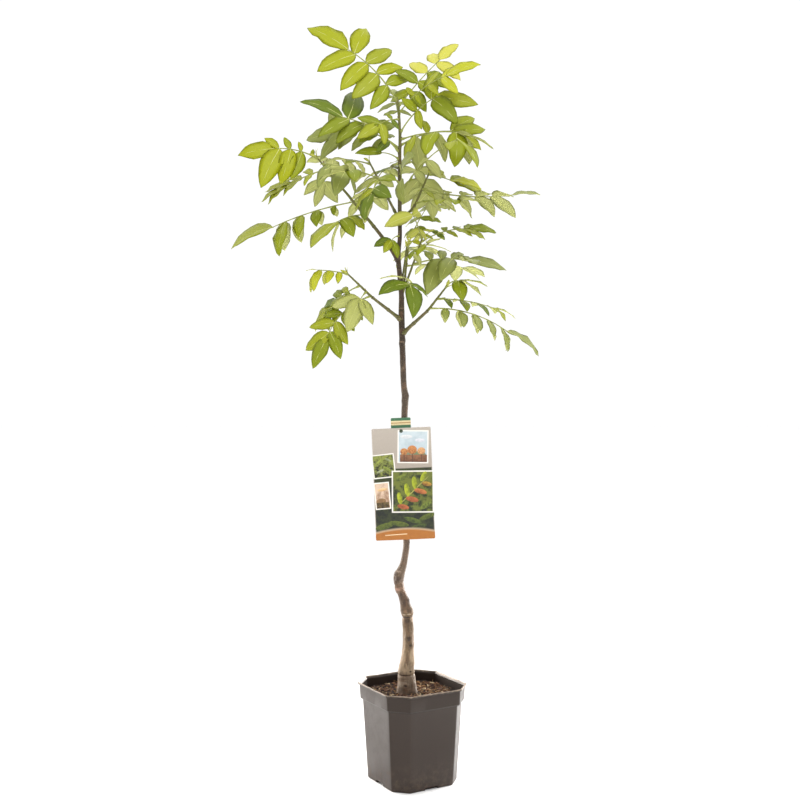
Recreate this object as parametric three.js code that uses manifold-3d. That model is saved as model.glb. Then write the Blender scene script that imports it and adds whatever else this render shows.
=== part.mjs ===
/*
 * A young grafted walnut tree in a square nursery pot, with its hanging picture label.
 *
 * Millimetres, +Z up. The origin is the middle of the pot's flat underside, +X is the tree's right
 * as seen from the front and +Y its back. Every turn is an angle from +X towards +Y and every rise
 * an angle up from level, both in degrees.
 *
 * The trunk is one tapering limb from a flat cut on the soil to the leader's bud. Boughs leave it,
 * and each mass of foliage grows from a bough's tip or straight from the trunk: leaf stalks with
 * pairs of leaflets and one at the end, varied by a seeded rule and fused into one solid.
 */
import * as THREE from 'three';
import { mergeVertices } from 'three/addons/utils/BufferGeometryUtils.js';
import Module from 'manifold-3d';

const wasm = await Module();
wasm.setup();

// ---------------------------------------------------------------- driving sizes

const GAP = 0.3; // clear space between neighbouring pieces
const MERGE = 1e-4; // corners closer than this are one corner

// The pot is an octagon of four long sides and four short corner sides: flat is half its width
// across the long sides, corner what each corner side cuts off a long side's end.
const POT = {
  turn: 29.8,
  wall: 2,
  floor: 3,
  levels: [
    { height: 0, flat: 71.5, corner: 25 },
    { height: 3, flat: 73.5, corner: 25.7 },
    { height: 154.5, flat: 82.5, corner: 30 },
    { height: 156.5, flat: 86.5, corner: 31.5 },
    { height: 183.5, flat: 88, corner: 32.5 },
    { height: 184, flat: 91, corner: 34 },
    { height: 188, flat: 91, corner: 34 },
  ],
  drain: { width: 28, height: 5.5, deep: 14 },
};
const SOIL_TOP = 169.2;

// The trunk's knots: height, then how far right and back its middle lies, then its diameter.
const TRUNK = [
  [SOIL_TOP + GAP, -10.2, 0, 41],
  [180, -10.5, 0, 37],
  [203, -11.6, 0, 34],
  [210, -11.4, 0, 31],
  [244, -8.3, 0, 24],
  [286, -7.3, 1, 21.6],
  [326, -9.6, 2, 22],
  [353, -16.5, 3, 18],
  [373, -24.2, 4, 16.6],
  [390, -28, 4, 20.5],
  [401, -24, 4, 19],
  [421, -16.7, 3, 13.8],
  [455, -11, 2, 12.8],
  [587, -14.2, 0, 12.8],
  [711, -15.5, 0, 12.6],
  [750, -13.4, 0, 13.6],
  [772, -16.7, 0, 11.8],
  [856, -19.5, 0, 11.8],
  [911, -21, 0, 12.2],
  [951, -21, 0, 10],
  [1028, -28.1, 0, 9.6],
  [1064, -24, 0, 8.2],
  [1154, -24.8, 0, 7.8],
  [1215, -24.6, 0, 6.8],
  [1260, -24, 0, 5.8],
  [1305, -25.6, 0, 4.8],
  [1330, -28.5, 0, 5.2],
  [1341, -30.5, 0, 2],
];
const TRUNK_SIDES = 12;
const STUB = { height: 1198, turn: 188, rise: 20, long: 19, thick: 3.2, end: 6 };

// Woody boughs, from the trunk's middle at a height to where their leafy shoot starts.
const BOUGHS = {
  bough_low_right: { height: 874, turn: 356, rise: 42, long: 68, thick: 8, tip: 5.6 },
  bough_low_left: { height: 901, turn: 196, rise: 36, long: 74, thick: 7.4, tip: 5.2 },
  bough_mid_left: { height: 1018, turn: 186, rise: 58, bend: -8, long: 84, thick: 8, tip: 6.6 },
  bough_upper_left: { height: 1096, turn: 190, rise: 62, long: 50, thick: 6, tip: 4.8 },
  bough_upper_right: { height: 1100, turn: 338, rise: 24, bend: 30, long: 42, thick: 6, tip: 4.8 },
  bough_back: { height: 942, turn: 80, rise: 50, long: 64, thick: 6.4, tip: 4.8 },
};
const BOUGH = { sides: 7, steps: 4 };

// The label is a stiff card with a tab at its top, pinned to a collar round the trunk.
const LABEL = {
  width: 116,
  height: 219,
  thick: 0.8,
  tab: { width: 39, height: 20 },
  lean: 2.4,
  middle: { x: -17.5, z: 580 },
  front: -10.2,
  hole: { below: 6, size: 5, sides: 16 },
};
const TIE = { collar: 17, high: 7, pin: 3.4, head: 8, headThick: 2, sides: 16 };

// ---------------------------------------------------------------- the foliage's named sizes

// What a leaf has unless its own line says otherwise: its stalk's length, how far its heading
// turns (sweep) and rises (bend) on the way, the roll of its blade about the stalk, its pairs of
// leaflets, their length and width (slim), how much of it the lowest pair has (grow), where the
// lowest and the highest pair sit on the stalk (first, last), the angle they stand off at (spread), a turn that both
// hands share (skew), how far they droop (hang), how much longer those on its right hand are (lop), and how much longer the one at
// the end is (end), how far it droops (endHang) and its own roll (endRoll).
const LEAF = {
  long: 130,
  sweep: 0,
  bend: -14,
  roll: 0,
  pairs: 3,
  leaflet: 70,
  slim: 0.47,
  grow: 0.6,
  first: 0.36,
  last: 0.92,
  spread: 52,
  skew: 0,
  hang: 0.45,
  lop: 0,
  end: 1.08,
  endHang: 0.07,
  endRoll: 0,
};
const LEAFLET = {
  thick: 0.026,
  arch: 0.06,
  fold: 0.14,
  splay: 34,
  sink: 0.3,
  endSink: 1.2,
};
const STALK = { foot: 3.6, tip: 2.2, sides: 3, steps: 5 };
const SHOOT = { sides: 5, steps: 5, tip: 3.4 };

// Each mass: the limb it grows from, the seed of its small differences, the shoot that goes on
// from a bough's tip, and its leaves. at is a leaf's place along the shoot.
const MASSES = [
  { name: 'leaves_top_left', on: 'trunk', height: 1328, seed: 11, leaves: [
    { turn: 172, rise: 63, long: 150, bend: -30, roll: 76, leaflet: 86, slim: 0.46, first: 0.3,
      last: 0.9, pairs: 4, spread: 74, skew: 3, grow: 0.76, hang: 0.08, lop: -0.12, end: 1.08,
      endHang: 0.12 },
  ] },
  { name: 'leaves_top_front', on: 'trunk', height: 1296, seed: 12, leaves: [
    { turn: 214, rise: -4, long: 52, bend: -30, roll: 44, pairs: 2, leaflet: 46, spread: 60, hang: 0.2,
      end: 1.2 },
  ] },
  { name: 'leaves_top_right', on: 'trunk', height: 1320, seed: 13, leaves: [
    { turn: 24, rise: 54, long: 140, bend: -10, roll: -56, pairs: 4, leaflet: 58, slim: 0.5,
      first: 0.3, grow: 0.9, end: 0.94 },
  ] },
  { name: 'leaves_top_right_front', on: 'trunk', height: 1308, seed: 39, leaves: [
    { turn: 334, rise: 50, long: 121, bend: -38, roll: -50, pairs: 3, leaflet: 50, slim: 0.4,
      spread: 40, first: 0.4, end: 1.36 },
  ] },
  { name: 'leaves_top_back', on: 'trunk', height: 1288, seed: 14, leaves: [
    { turn: 98, rise: 52, long: 120, bend: -20, pairs: 3, leaflet: 52 },
  ] },
  { name: 'leaves_high_right', on: 'trunk', height: 1268, seed: 15, leaves: [
    { turn: 352, rise: 62, long: 104, bend: -36, roll: -66, pairs: 2, leaflet: 70, slim: 0.44,
      spread: 74, skew: 8, first: 0.55, last: 0.9, hang: 0.1, end: 1.3, endHang: 0.5 },
  ] },
  { name: 'leaves_high_left', on: 'trunk', height: 1230, seed: 16, leaves: [
    { turn: 190, rise: 52, long: 134, bend: -44, roll: 64, pairs: 4, leaflet: 92, slim: 0.4,
      first: 0.26, spread: 74, skew: 25, hang: 0.12, lop: 0.14, end: 0.88, endHang: -0.12 },
  ] },
  { name: 'leaves_high_left_back', on: 'trunk', height: 1238, seed: 17, leaves: [
    { turn: 160, rise: 44, long: 146, bend: -52, roll: 56, pairs: 4, leaflet: 68, slim: 0.42,
      spread: 50, skew: 12, first: 0.3, hang: 0.15 },
  ] },
  { name: 'leaves_high_front_left', on: 'trunk', height: 1216, seed: 18, leaves: [
    { turn: 212, rise: 34, long: 46, bend: -44, roll: 50, pairs: 1, leaflet: 60, spread: 40, end: 1.34,
      endHang: 0.1 },
  ] },
  { name: 'leaves_high_right_back', on: 'trunk', height: 1244, seed: 19, leaves: [
    { turn: 22, rise: 36, long: 124, bend: -34, roll: -68, pairs: 2, leaflet: 72, slim: 0.4,
      spread: 34, first: 0.55, last: 0.97, grow: 0.5, hang: 0.1, endHang: -0.1 },
  ] },
  { name: 'leaves_high_right_front', on: 'trunk', height: 1256, seed: 20, leaves: [
    { turn: 335, rise: 13, long: 122, bend: -24, pairs: 3, leaflet: 78, first: 0.26, last: 0.98,
      grow: 0.85, spread: 72, hang: 1.3, endHang: 0.6 },
  ] },
  { name: 'leaves_middle_front', on: 'trunk', height: 1206, seed: 21, leaves: [
    { turn: 275, rise: -16, long: 56, bend: -50, roll: -50, pairs: 1, leaflet: 74, spread: 70,
      last: 0.7, hang: 0, end: 0.8 },
  ] },
  { name: 'leaves_middle_front_left', on: 'trunk', height: 1170, seed: 22, leaves: [
    { turn: 240, rise: 26, long: 120, bend: -90, pairs: 3, leaflet: 62, spread: 60, hang: 0.2 },
  ] },
  { name: 'leaves_middle_back_left', on: 'trunk', height: 1182, seed: 23, leaves: [
    { turn: 115, rise: 50, long: 160, bend: -110, pairs: 4, leaflet: 68, hang: 0.2 },
  ] },
  { name: 'leaves_middle_back_right', on: 'trunk', height: 1200, seed: 24, leaves: [
    { turn: 70, rise: 50, long: 150, bend: -110, pairs: 4, leaflet: 68, hang: 0.2 },
  ] },
  { name: 'leaves_middle_right_front', on: 'trunk', height: 1146, seed: 25, leaves: [
    { turn: 316, rise: 50, long: 177, bend: -40, pairs: 4, leaflet: 68, hang: 0.6, endHang: 1.2 },
  ] },
  { name: 'leaves_knot_front', on: 'trunk', height: 1066, seed: 40, leaves: [
    { turn: 236, rise: 2, long: 34, bend: -50, roll: 30, pairs: 1, leaflet: 40, hang: 0.4 },
  ] },
  { name: 'leaves_low_front', on: 'trunk', height: 984, seed: 26, leaves: [
    { turn: 284, rise: 4, long: 84, bend: -40, roll: 14, pairs: 2, leaflet: 60, spread: 70, hang: 0.3,
      lop: 0.24, endHang: 1.2 },
  ] },
  { name: 'foliage_low_right', on: 'bough_low_right', seed: 31, shoot: { rise: 52, long: 58 }, leaves: [
    { at: 0.1, turn: 352, rise: 2, long: 162, bend: -38, pairs: 5, leaflet: 54, first: 0.2, hang: 1,
      end: 1.34, endRoll: -18 },
    { at: 0.5, turn: 20, rise: 3, long: 128, bend: -20, roll: -24, pairs: 4, leaflet: 50, slim: 0.4,
      spread: 60, first: 0.14, grow: 0.8, hang: 0.3 },
    { at: 0.97, turn: 330, rise: 56, long: 36, bend: -70, pairs: 1, leaflet: 62, hang: 0.6 },
  ] },
  { name: 'foliage_low_left', on: 'bough_low_left', seed: 32, shoot: { rise: 42, long: 66 }, leaves: [
    { at: 0.06, turn: 198, rise: -18, long: 124, bend: -50, roll: 64, pairs: 4, leaflet: 58,
      hang: 0.3 },
    { at: 0.5, turn: 162, rise: -18, long: 80, bend: -34, roll: 64, pairs: 4, leaflet: 54, hang: 0.3 },
    { at: 0.98, turn: 190, rise: 14, long: 60, bend: -14, pairs: 3, leaflet: 50, first: 0.3, hang: 1.2,
      end: 0.5 },
    { at: 0.24, turn: 236, rise: -30, long: 26, bend: -20, pairs: 1, leaflet: 60, roll: 50, spread: 60,
      end: 1.3, endHang: 0.3 },
  ] },
  { name: 'foliage_mid_left', on: 'bough_mid_left', seed: 33, shoot: { rise: 50, long: 172 }, leaves: [
    { at: 0.16, turn: 226, rise: -6, long: 78, bend: -22, pairs: 3, leaflet: 64, slim: 0.5, last: 0.8,
      spread: 78, hang: 1.3, end: 1.36, endHang: 0.44, endRoll: 16 },
    { at: 0.72, turn: 140, rise: 30, long: 30, bend: -100, pairs: 1, leaflet: 52, hang: 0.2 },
    { at: 0.9, turn: 322, rise: -6, long: 70, bend: -24, pairs: 2, leaflet: 62, first: 0.25,
      grow: 0.95, spread: 70, hang: 1.1, endHang: 1.2 },
    { at: 0.7, turn: 80, rise: 60, long: 74, bend: -20, pairs: 3, leaflet: 56, hang: 0.2 },
    { at: 0.83, turn: 164, rise: -12, long: 84, bend: -12, roll: 52, pairs: 3, leaflet: 66, slim: 0.4,
      spread: 20, hang: 0.05 },
    { at: 0.98, turn: 192, rise: 28, long: 86, bend: -34, roll: 62, pairs: 4, leaflet: 66, first: 0.16,
      grow: 0.5, spread: 54, hang: 0.2, lop: -0.5, end: 1.26, endHang: 0.12 },
  ] },
  { name: 'foliage_upper_left', on: 'bough_upper_left', seed: 34, shoot: { rise: 62, long: 80 }, leaves: [
    { at: 0.02, turn: 168, rise: -2, long: 244, bend: -20, pairs: 4, leaflet: 72, slim: 0.56,
      first: 0.47, last: 0.9, grow: 0.35, spread: 72, hang: 1.5, end: 1.3, endHang: 0.05, endRoll: 20 },
    { at: 0.3, turn: 110, rise: 8, long: 110, pairs: 3, leaflet: 64, hang: 0.6 },
    { at: 0.55, turn: 236, rise: 6, long: 100, pairs: 3, leaflet: 68, hang: 0.7 },
    { at: 0.93, turn: 140, rise: 20, long: 116, pairs: 3, leaflet: 64 },
  ] },
  { name: 'foliage_upper_right', on: 'bough_upper_right', seed: 35, shoot: { rise: 64, long: 66 }, leaves: [
    { at: 0.05, turn: 322, rise: 4, long: 100, pairs: 3, leaflet: 54 },
    { at: 0.3, turn: 75, rise: 58, long: 80, bend: -100, pairs: 3, leaflet: 56, hang: 0.2 },
    { at: 0.5, turn: 348, rise: -17, long: 178, bend: 22, pairs: 4, leaflet: 68, first: 0.28,
      last: 0.79, spread: 46, hang: 0.36, end: 0.92, endRoll: -40 },
    { at: 0.97, turn: 16, rise: -6, long: 50, bend: -12, roll: -46, pairs: 2, leaflet: 66, spread: 30,
      hang: 0.1, end: 1.2 },
  ] },
  { name: 'foliage_back', on: 'bough_back', seed: 36, shoot: { rise: 60, long: 90 }, leaves: [
    { at: 0.3, turn: 40, rise: 10, long: 150, pairs: 4, leaflet: 66 },
    { at: 0.6, turn: 84, rise: 20, long: 170, pairs: 4, leaflet: 68 },
    { at: 0.95, turn: 65, rise: 50, long: 130, pairs: 3, leaflet: 60 },
  ] },
  { name: 'shoot_right', on: 'trunk', height: 948, seed: 37,
    shoot: { turn: 350, rise: 70, long: 122, thick: 5 }, leaves: [
    { at: 0.54, turn: 18, rise: 21, long: 116, bend: -30, roll: -44, pairs: 4, leaflet: 80, slim: 0.4,
      spread: 76, skew: 32, grow: 0.8, hang: 0.3, lop: 0.36, end: 1.2, endHang: 0.1 },
    { at: 0.92, turn: 15, rise: 34, long: 106, bend: -34, roll: -30, pairs: 4, leaflet: 46, slim: 0.42,
      spread: 40, hang: 0.2, end: 1.2, endRoll: -20 },
    { at: 0.97, turn: 225, rise: 70, long: 56, bend: -20, pairs: 2, leaflet: 58, slim: 0.42,
      hang: 0.7 },
  ] },
  { name: 'shoot_middle', on: 'trunk', height: 962, seed: 38,
    shoot: { turn: 40, rise: 80, long: 86, thick: 4.4 }, leaves: [
    { at: 0.7, turn: 300, rise: 20, long: 90, pairs: 3, leaflet: 52, hang: 0.5 },
    { at: 0.95, turn: 60, rise: 40, long: 90, pairs: 3, leaflet: 44 },
  ] },
];

// Small turns that a stalk or a leaflet tries, in this order, when its own place is taken.
const STALK_TRIES = [0, 8, -8, 16, -16, 24, -24];
const LEAFLET_TRIES = [0, 16, -16, 32, -32, 48, -48];

// ---------------------------------------------------------------- headings, paths and chance

const UP = new THREE.Vector3(0, 0, 1);
const radians = THREE.MathUtils.degToRad;

function heading(turn, rise) {
  const level = Math.cos(radians(rise));
  return new THREE.Vector3(
    level * Math.cos(radians(turn)),
    level * Math.sin(radians(turn)),
    Math.sin(radians(rise)),
  );
}

// The points of a limb whose heading changes evenly from its foot to its tip.
function walk(start, { turn, rise, long, sweep = 0, bend = 0 }, steps) {
  const points = [start.clone()];
  for (let i = 0; i < steps; i += 1) {
    const half = (i + 0.5) / steps;
    const step = heading(turn + sweep * half, rise + bend * half);
    points.push(points[i].clone().addScaledVector(step, long / steps));
  }
  return points;
}

// The point and heading a fraction of the way along a path.
function placeOn(points, fraction) {
  const steps = points.length - 1;
  const step = Math.min(Math.floor(fraction * steps), steps - 1);
  const ahead = points[step + 1].clone().sub(points[step]);
  const point = points[step].clone().addScaledVector(ahead, fraction * steps - step);
  return { point, ahead: ahead.normalize() };
}

// What is left of a direction once its share along another is taken away.
function squareTo(direction, other) {
  return direction.clone().addScaledVector(other, -direction.dot(other)).normalize();
}

// Even chance from a seed, by the minimal standard generator.
function chanceFrom(seed) {
  let state = seed * 7919;
  return () => {
    state = (state * 48271) % 2147483647;
    return state / 2147483647;
  };
}

// ---------------------------------------------------------------- solids

function toSolid(geometry) {
  const bare = geometry.clone();
  bare.deleteAttribute('normal');
  bare.deleteAttribute('uv');
  const merged = mergeVertices(bare, MERGE);
  return new wasm.Manifold(new wasm.Mesh({
    numProp: 3,
    vertProperties: new Float32Array(merged.attributes.position.array),
    triVerts: new Uint32Array(merged.index.array),
  }));
}

function toGeometry(solid) {
  const mesh = solid.getMesh();
  const geometry = new THREE.BufferGeometry();
  geometry.setAttribute('position', new THREE.BufferAttribute(new Float32Array(mesh.vertProperties), 3));
  geometry.setIndex(new THREE.BufferAttribute(new Uint32Array(mesh.triVerts), 1));
  return geometry;
}

// Moves every corner of a geometry, by a function of its own place.
function reshape(geometry, move) {
  const places = geometry.attributes.position;
  const place = new THREE.Vector3();
  for (let i = 0; i < places.count; i += 1) {
    place.fromBufferAttribute(places, i);
    const moved = move(place);
    places.setXYZ(i, moved.x, moved.y, moved.z);
  }
  return geometry;
}

// The biggest of the separate bodies in a solid.
function biggest(solid) {
  return solid.decompose().reduce((best, next) => (next.volume() > best.volume() ? next : best));
}

// A tapering limb: a cylinder whose rings are moved onto a path. thick gives each ring's diameter.
function limb(points, thick, sides, { swell = 0, levelFoot = false } = {}) {
  const steps = points.length - 1;
  const rings = [];
  let right = null;
  points.forEach((point, i) => {
    const before = points[Math.max(i - 1, 0)];
    const after = points[Math.min(i + 1, steps)];
    const ahead = levelFoot && i === 0 ? UP : after.clone().sub(before).normalize();
    const guide = right ?? (Math.abs(ahead.x) < 0.9 ? new THREE.Vector3(1, 0, 0) : UP);
    right = squareTo(guide, ahead);
    rings.push({ point, right, back: ahead.clone().cross(right), radius: thick[i] / 2 + swell });
  });
  const tube = new THREE.CylinderGeometry(1, 1, 1, sides, steps);
  return toSolid(reshape(tube, (place) => {
    const ring = rings[Math.round((0.5 - place.y) * steps)];
    return ring.point.clone()
      .addScaledVector(ring.right, place.x * ring.radius)
      .addScaledVector(ring.back, place.z * ring.radius);
  }));
}

// Diameters that change evenly from a limb's foot to its tip.
function taper(foot, tip, steps) {
  return Array.from({ length: steps + 1 }, (_, i) => foot + ((tip - foot) * i) / steps);
}

// ---------------------------------------------------------------- the space that is taken

// Boxes that follow the limbs, stalks and leaflets as they are placed, each with its owner, so
// that every later one keeps clear of what is there.
const taken = [];

function boxRound(middle, axes, halves, owner) {
  return { middle, axes, halves, owner, reach: Math.hypot(...halves) };
}

function limbBoxes(points, thick, owner) {
  return points.slice(1).map((point, i) => {
    const before = points[i];
    const ahead = point.clone().sub(before).normalize();
    const side = squareTo(Math.abs(ahead.z) < 0.9 ? UP : new THREE.Vector3(1, 0, 0), ahead);
    const radius = Math.max(thick[i], thick[i + 1]) / 2;
    return boxRound(
      point.clone().add(before).multiplyScalar(0.5),
      [ahead, side, ahead.clone().cross(side)],
      [point.distanceTo(before) / 2, radius, radius],
      owner,
    );
  });
}

// Two boxes are apart when some face direction or crossed edge direction separates them.
function apart(one, other) {
  const across = other.middle.clone().sub(one.middle);
  if (across.length() > one.reach + other.reach + GAP) {
    return true;
  }
  const crossed = one.axes.flatMap((a) => other.axes.map((b) => a.clone().cross(b)));
  return [...one.axes, ...other.axes, ...crossed].some((axis) => {
    const size = axis.length();
    const share = (box) => box.axes.reduce((sum, a, i) => sum + box.halves[i] * Math.abs(a.dot(axis)), 0);
    return size > 1e-6 && Math.abs(across.dot(axis)) > share(one) + share(other) + GAP * size;
  });
}

function isFree(boxes, friends) {
  return boxes.every((box) => taken.every((other) => friends.includes(other.owner) || apart(box, other)));
}

// ---------------------------------------------------------------- trunk and boughs

const trunkPoints = TRUNK.map(([height, x, y]) => new THREE.Vector3(x, y, height));
const trunkThick = TRUNK.map((knot) => knot[3]);

function trunkAt(height) {
  const above = Math.max(trunkPoints.findIndex((point) => point.z > height), 1);
  const low = trunkPoints[above - 1];
  const high = trunkPoints[above];
  return low.clone().lerp(high, (height - low.z) / (high.z - low.z));
}

// The room a limb takes with the gap all round it, which cuts what meets it. The trunk's foot
// stands on the soil; every other limb's room also goes the gap past its tip.
const rooms = { trunk: limb(trunkPoints, trunkThick, TRUNK_SIDES, { swell: GAP, levelFoot: true }) };

function makeTrunk() {
  const stubPath = walk(trunkAt(STUB.height), STUB, 3);
  const stub = limb(stubPath, [STUB.thick, STUB.thick, STUB.end, STUB.end * 0.7], 6);
  return limb(trunkPoints, trunkThick, TRUNK_SIDES, { levelFoot: true }).add(stub);
}

const boughPaths = Object.fromEntries(Object.entries(BOUGHS).map(([name, bough]) => (
  [name, walk(trunkAt(bough.height), bough, BOUGH.steps)]
)));

for (const [name, { thick, tip }] of Object.entries(BOUGHS)) {
  const points = boughPaths[name];
  const { point, ahead } = placeOn(points, 1);
  const longer = [...points.slice(0, -1), point.addScaledVector(ahead, GAP)];
  rooms[name] = limb(longer, taper(thick, tip, BOUGH.steps), BOUGH.sides, { swell: GAP });
}

function makeBough(name) {
  const { thick, tip } = BOUGHS[name];
  const bough = limb(boughPaths[name], taper(thick, tip, BOUGH.steps), BOUGH.sides);
  return biggest(bough.subtract(rooms.trunk));
}

// ---------------------------------------------------------------- foliage

// A mass's shoot goes on from its bough's tip, or leaves the trunk's middle at a height.
function shootOf(mass) {
  if (!mass.shoot) {
    return null;
  }
  if (mass.on === 'trunk') {
    const points = walk(trunkAt(mass.height), mass.shoot, SHOOT.steps);
    return { points, thick: taper(mass.shoot.thick, SHOOT.tip, SHOOT.steps) };
  }
  const bough = BOUGHS[mass.on];
  const shoot = { turn: bough.turn, ...mass.shoot };
  const points = walk(boughPaths[mass.on].at(-1), shoot, SHOOT.steps);
  return { points, thick: taper(bough.tip, SHOOT.tip, SHOOT.steps) };
}

// The stalk of a leaf: a three-sided twig that tries small turns until its room is free.
function placeStalk(leaf, start, friends, owner) {
  const thick = taper(STALK.foot, STALK.tip, STALK.steps);
  for (const swing of STALK_TRIES) {
    const points = walk(start, { ...leaf, turn: leaf.turn + swing }, STALK.steps);
    const boxes = limbBoxes(points, thick, owner);
    if (isFree(boxes, friends)) {
      taken.push(...boxes);
      return { points, thick };
    }
  }
  return null;
}

// One leaflet's own frame and size, with its root sunk past the point where it leaves the stalk.
function poseLeaflet(point, ahead, face, hang, length, slim, sink) {
  const along = ahead.clone().addScaledVector(UP, -hang).normalize();
  const root = point.clone().addScaledVector(along, -sink);
  const normal = squareTo(face, along);
  const width = length * slim;
  return { root, along, normal, side: along.clone().cross(normal), length, width };
}

function leafletBox({ root, along, normal, side, length, width }, owner) {
  const rise = length * LEAFLET.arch + (width / 2) * LEAFLET.fold;
  const thick = length * LEAFLET.thick;
  return boxRound(
    root.clone().addScaledVector(along, length / 2).addScaledVector(normal, rise / 2),
    [along, side, normal],
    [length / 2, width / 2, (rise + thick) / 2],
    owner,
  );
}

// The leaflets of one leaf, pair by pair up its stalk and one at the end.
function placeLeaflets(leaf, stalk, chance, owner) {
  const leaflets = [];
  const about = (value, range) => value * (1 + range * (2 * chance() - 1));
  const lean = 18 * (2 * chance() - 1);
  const put = (fraction, hand, size, angle, droop) => {
    const { point, ahead } = placeOn(stalk.points, fraction);
    const roll = leaf.roll + (hand === 0 ? leaf.endRoll : 0);
    const face = squareTo(UP, ahead).applyAxisAngle(ahead, radians(lean - roll));
    const across = ahead.clone().cross(face);
    const spread = radians(hand === 0 ? 0 : about(angle, 0.14) * hand + leaf.skew);
    const length = about(size, 0.1);
    const slim = about(leaf.slim, 0.1);
    const hang = about(droop, 0.4);
    const straight = ahead.clone().applyAxisAngle(face, -spread);
    const hinge = hand === 0 ? across : ahead;
    const sink = hand === 0 ? LEAFLET.endSink : LEAFLET.sink;
    for (const swing of LEAFLET_TRIES) {
      const way = straight.clone().applyAxisAngle(hinge, radians(swing));
      const leaflet = poseLeaflet(point, way, face, hang, length, slim, sink);
      const box = leafletBox(leaflet, owner);
      if (isFree([box], [owner])) {
        taken.push(box);
        leaflets.push(leaflet);
        return;
      }
    }
  };
  for (let pair = 0; pair < leaf.pairs; pair += 1) {
    const up = leaf.pairs > 1 ? pair / (leaf.pairs - 1) : 1;
    const fraction = leaf.first + (leaf.last - leaf.first) * up;
    const size = leaf.leaflet * (leaf.grow + (1 - leaf.grow) * up);
    const angle = leaf.spread + LEAFLET.splay * (1 - up);
    put(fraction, 1, size * (1 + leaf.lop), angle, leaf.hang);
    put(fraction - 0.02, -1, size * (1 - leaf.lop), angle, leaf.hang);
  }
  put(1, 0, leaf.leaflet * leaf.end, 0, leaf.endHang);
  return leaflets;
}

// A leaflet is a squashed ball of two cones: six points round its edge, highest on its midrib,
// arched along its length and folded up at its sides.
function makeLeaflet({ root, along, normal, side, length, width }) {
  const ball = new THREE.SphereGeometry(1, 6, 2);
  return toSolid(reshape(ball, ({ x, y, z }) => {
    const t = (x + 1) / 2;
    const narrow = t > 0.6 ? 0.95 : 1.15;
    const rise = 4 * LEAFLET.arch * length * t * (1 - t) + (LEAFLET.fold * Math.abs(z) * width) / 2;
    return root.clone()
      .addScaledVector(along, t * length)
      .addScaledVector(side, (z * narrow * width) / 2)
      .addScaledVector(normal, rise + (y * LEAFLET.thick * length) / 2);
  }));
}

// Every stalk finds its room before any leaflet does.
function growMasses() {
  taken.push(...limbBoxes(trunkPoints, trunkThick, 'trunk'));
  for (const [name, { thick, tip }] of Object.entries(BOUGHS)) {
    taken.push(...limbBoxes(boughPaths[name], taper(thick, tip, BOUGH.steps), name));
  }
  const grown = MASSES.map((mass) => {
    const shoot = shootOf(mass);
    if (shoot) {
      taken.push(...limbBoxes(shoot.points, shoot.thick, mass.name));
    }
    return { mass, shoot, leaves: [] };
  });
  for (const { mass, shoot, leaves } of grown) {
    mass.leaves.forEach((own, i) => {
      const leaf = { ...LEAF, ...own };
      const start = shoot ? placeOn(shoot.points, leaf.at).point : trunkAt(mass.height);
      const owner = `${mass.name}/${i}`;
      const friends = [owner, mass.name, mass.on];
      const stalk = placeStalk(leaf, start, friends, owner);
      if (stalk) {
        leaves.push({ leaf, stalk, owner });
      }
    });
  }
  for (const { mass, leaves } of grown) {
    const chance = chanceFrom(mass.seed);
    for (const item of leaves) {
      item.leaflets = placeLeaflets(item.leaf, item.stalk, chance, item.owner);
    }
  }
  return grown;
}

function makeMass({ mass, shoot, leaves }) {
  const pieces = leaves.flatMap(({ stalk, leaflets }) => (
    [limb(stalk.points, stalk.thick, STALK.sides), ...leaflets.map(makeLeaflet)]
  ));
  if (shoot) {
    pieces.push(limb(shoot.points, shoot.thick, SHOOT.sides));
  }
  return biggest(wasm.Manifold.union(pieces).subtract(rooms[mass.on]));
}

// ---------------------------------------------------------------- pot and soil

// An octagonal stack: one ring of corners for each level.
function octagonStack(levels) {
  const steps = levels.length - 1;
  const drum = new THREE.CylinderGeometry(1, 1, 1, 8, steps, false, Math.PI / 8);
  return toSolid(reshape(drum, ({ x, y, z }) => {
    const { height, flat, corner } = levels[Math.round((0.5 + y) * steps)];
    const reach = (value, other) => {
      const wide = Math.abs(value) > Math.abs(other) ? flat : flat - corner;
      return Math.abs(value) < 1e-6 && Math.abs(other) < 1e-6 ? 0 : Math.sign(value) * wide;
    };
    return new THREE.Vector3(reach(z, x), reach(x, z), height);
  }));
}

// The pot's levels set in by a wall's thickness, from a bottom height up.
function insideLevels(inset, bottom) {
  const set = POT.levels.slice(1, 5).map(({ height, flat, corner }) => (
    { height: height + inset, flat: flat - inset, corner: corner - (2 - Math.SQRT2) * inset }
  ));
  set[0].height = bottom;
  set[set.length - 1].height = POT.levels.at(-1).height + 1;
  return set;
}

function box(wide, deep, high) {
  return toSolid(new THREE.BoxGeometry(wide, deep, high));
}

function makePot() {
  let pot = octagonStack(POT.levels).subtract(octagonStack(insideLevels(POT.wall, POT.floor)));
  const { width, height, deep } = POT.drain;
  for (const side of [0, 90, 180, 270]) {
    const notch = box(deep * 2, width, height * 2).translate([POT.levels[1].flat, 0, 0]);
    pot = pot.subtract(notch.rotate([0, 0, side]));
  }
  return pot;
}

function makeSoil() {
  const fill = octagonStack(insideLevels(POT.wall + GAP, POT.floor + GAP));
  const wide = POT.levels.at(-1).flat * 2;
  return fill.intersect(box(wide, wide, SOIL_TOP * 2));
}

// ---------------------------------------------------------------- label and tie

function labelHole() {
  const lean = radians(LABEL.lean);
  const up = LABEL.height / 2 - LABEL.hole.below;
  return new THREE.Vector3(
    LABEL.middle.x - Math.sin(lean) * up,
    LABEL.front,
    LABEL.middle.z + Math.cos(lean) * up,
  );
}

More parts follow.
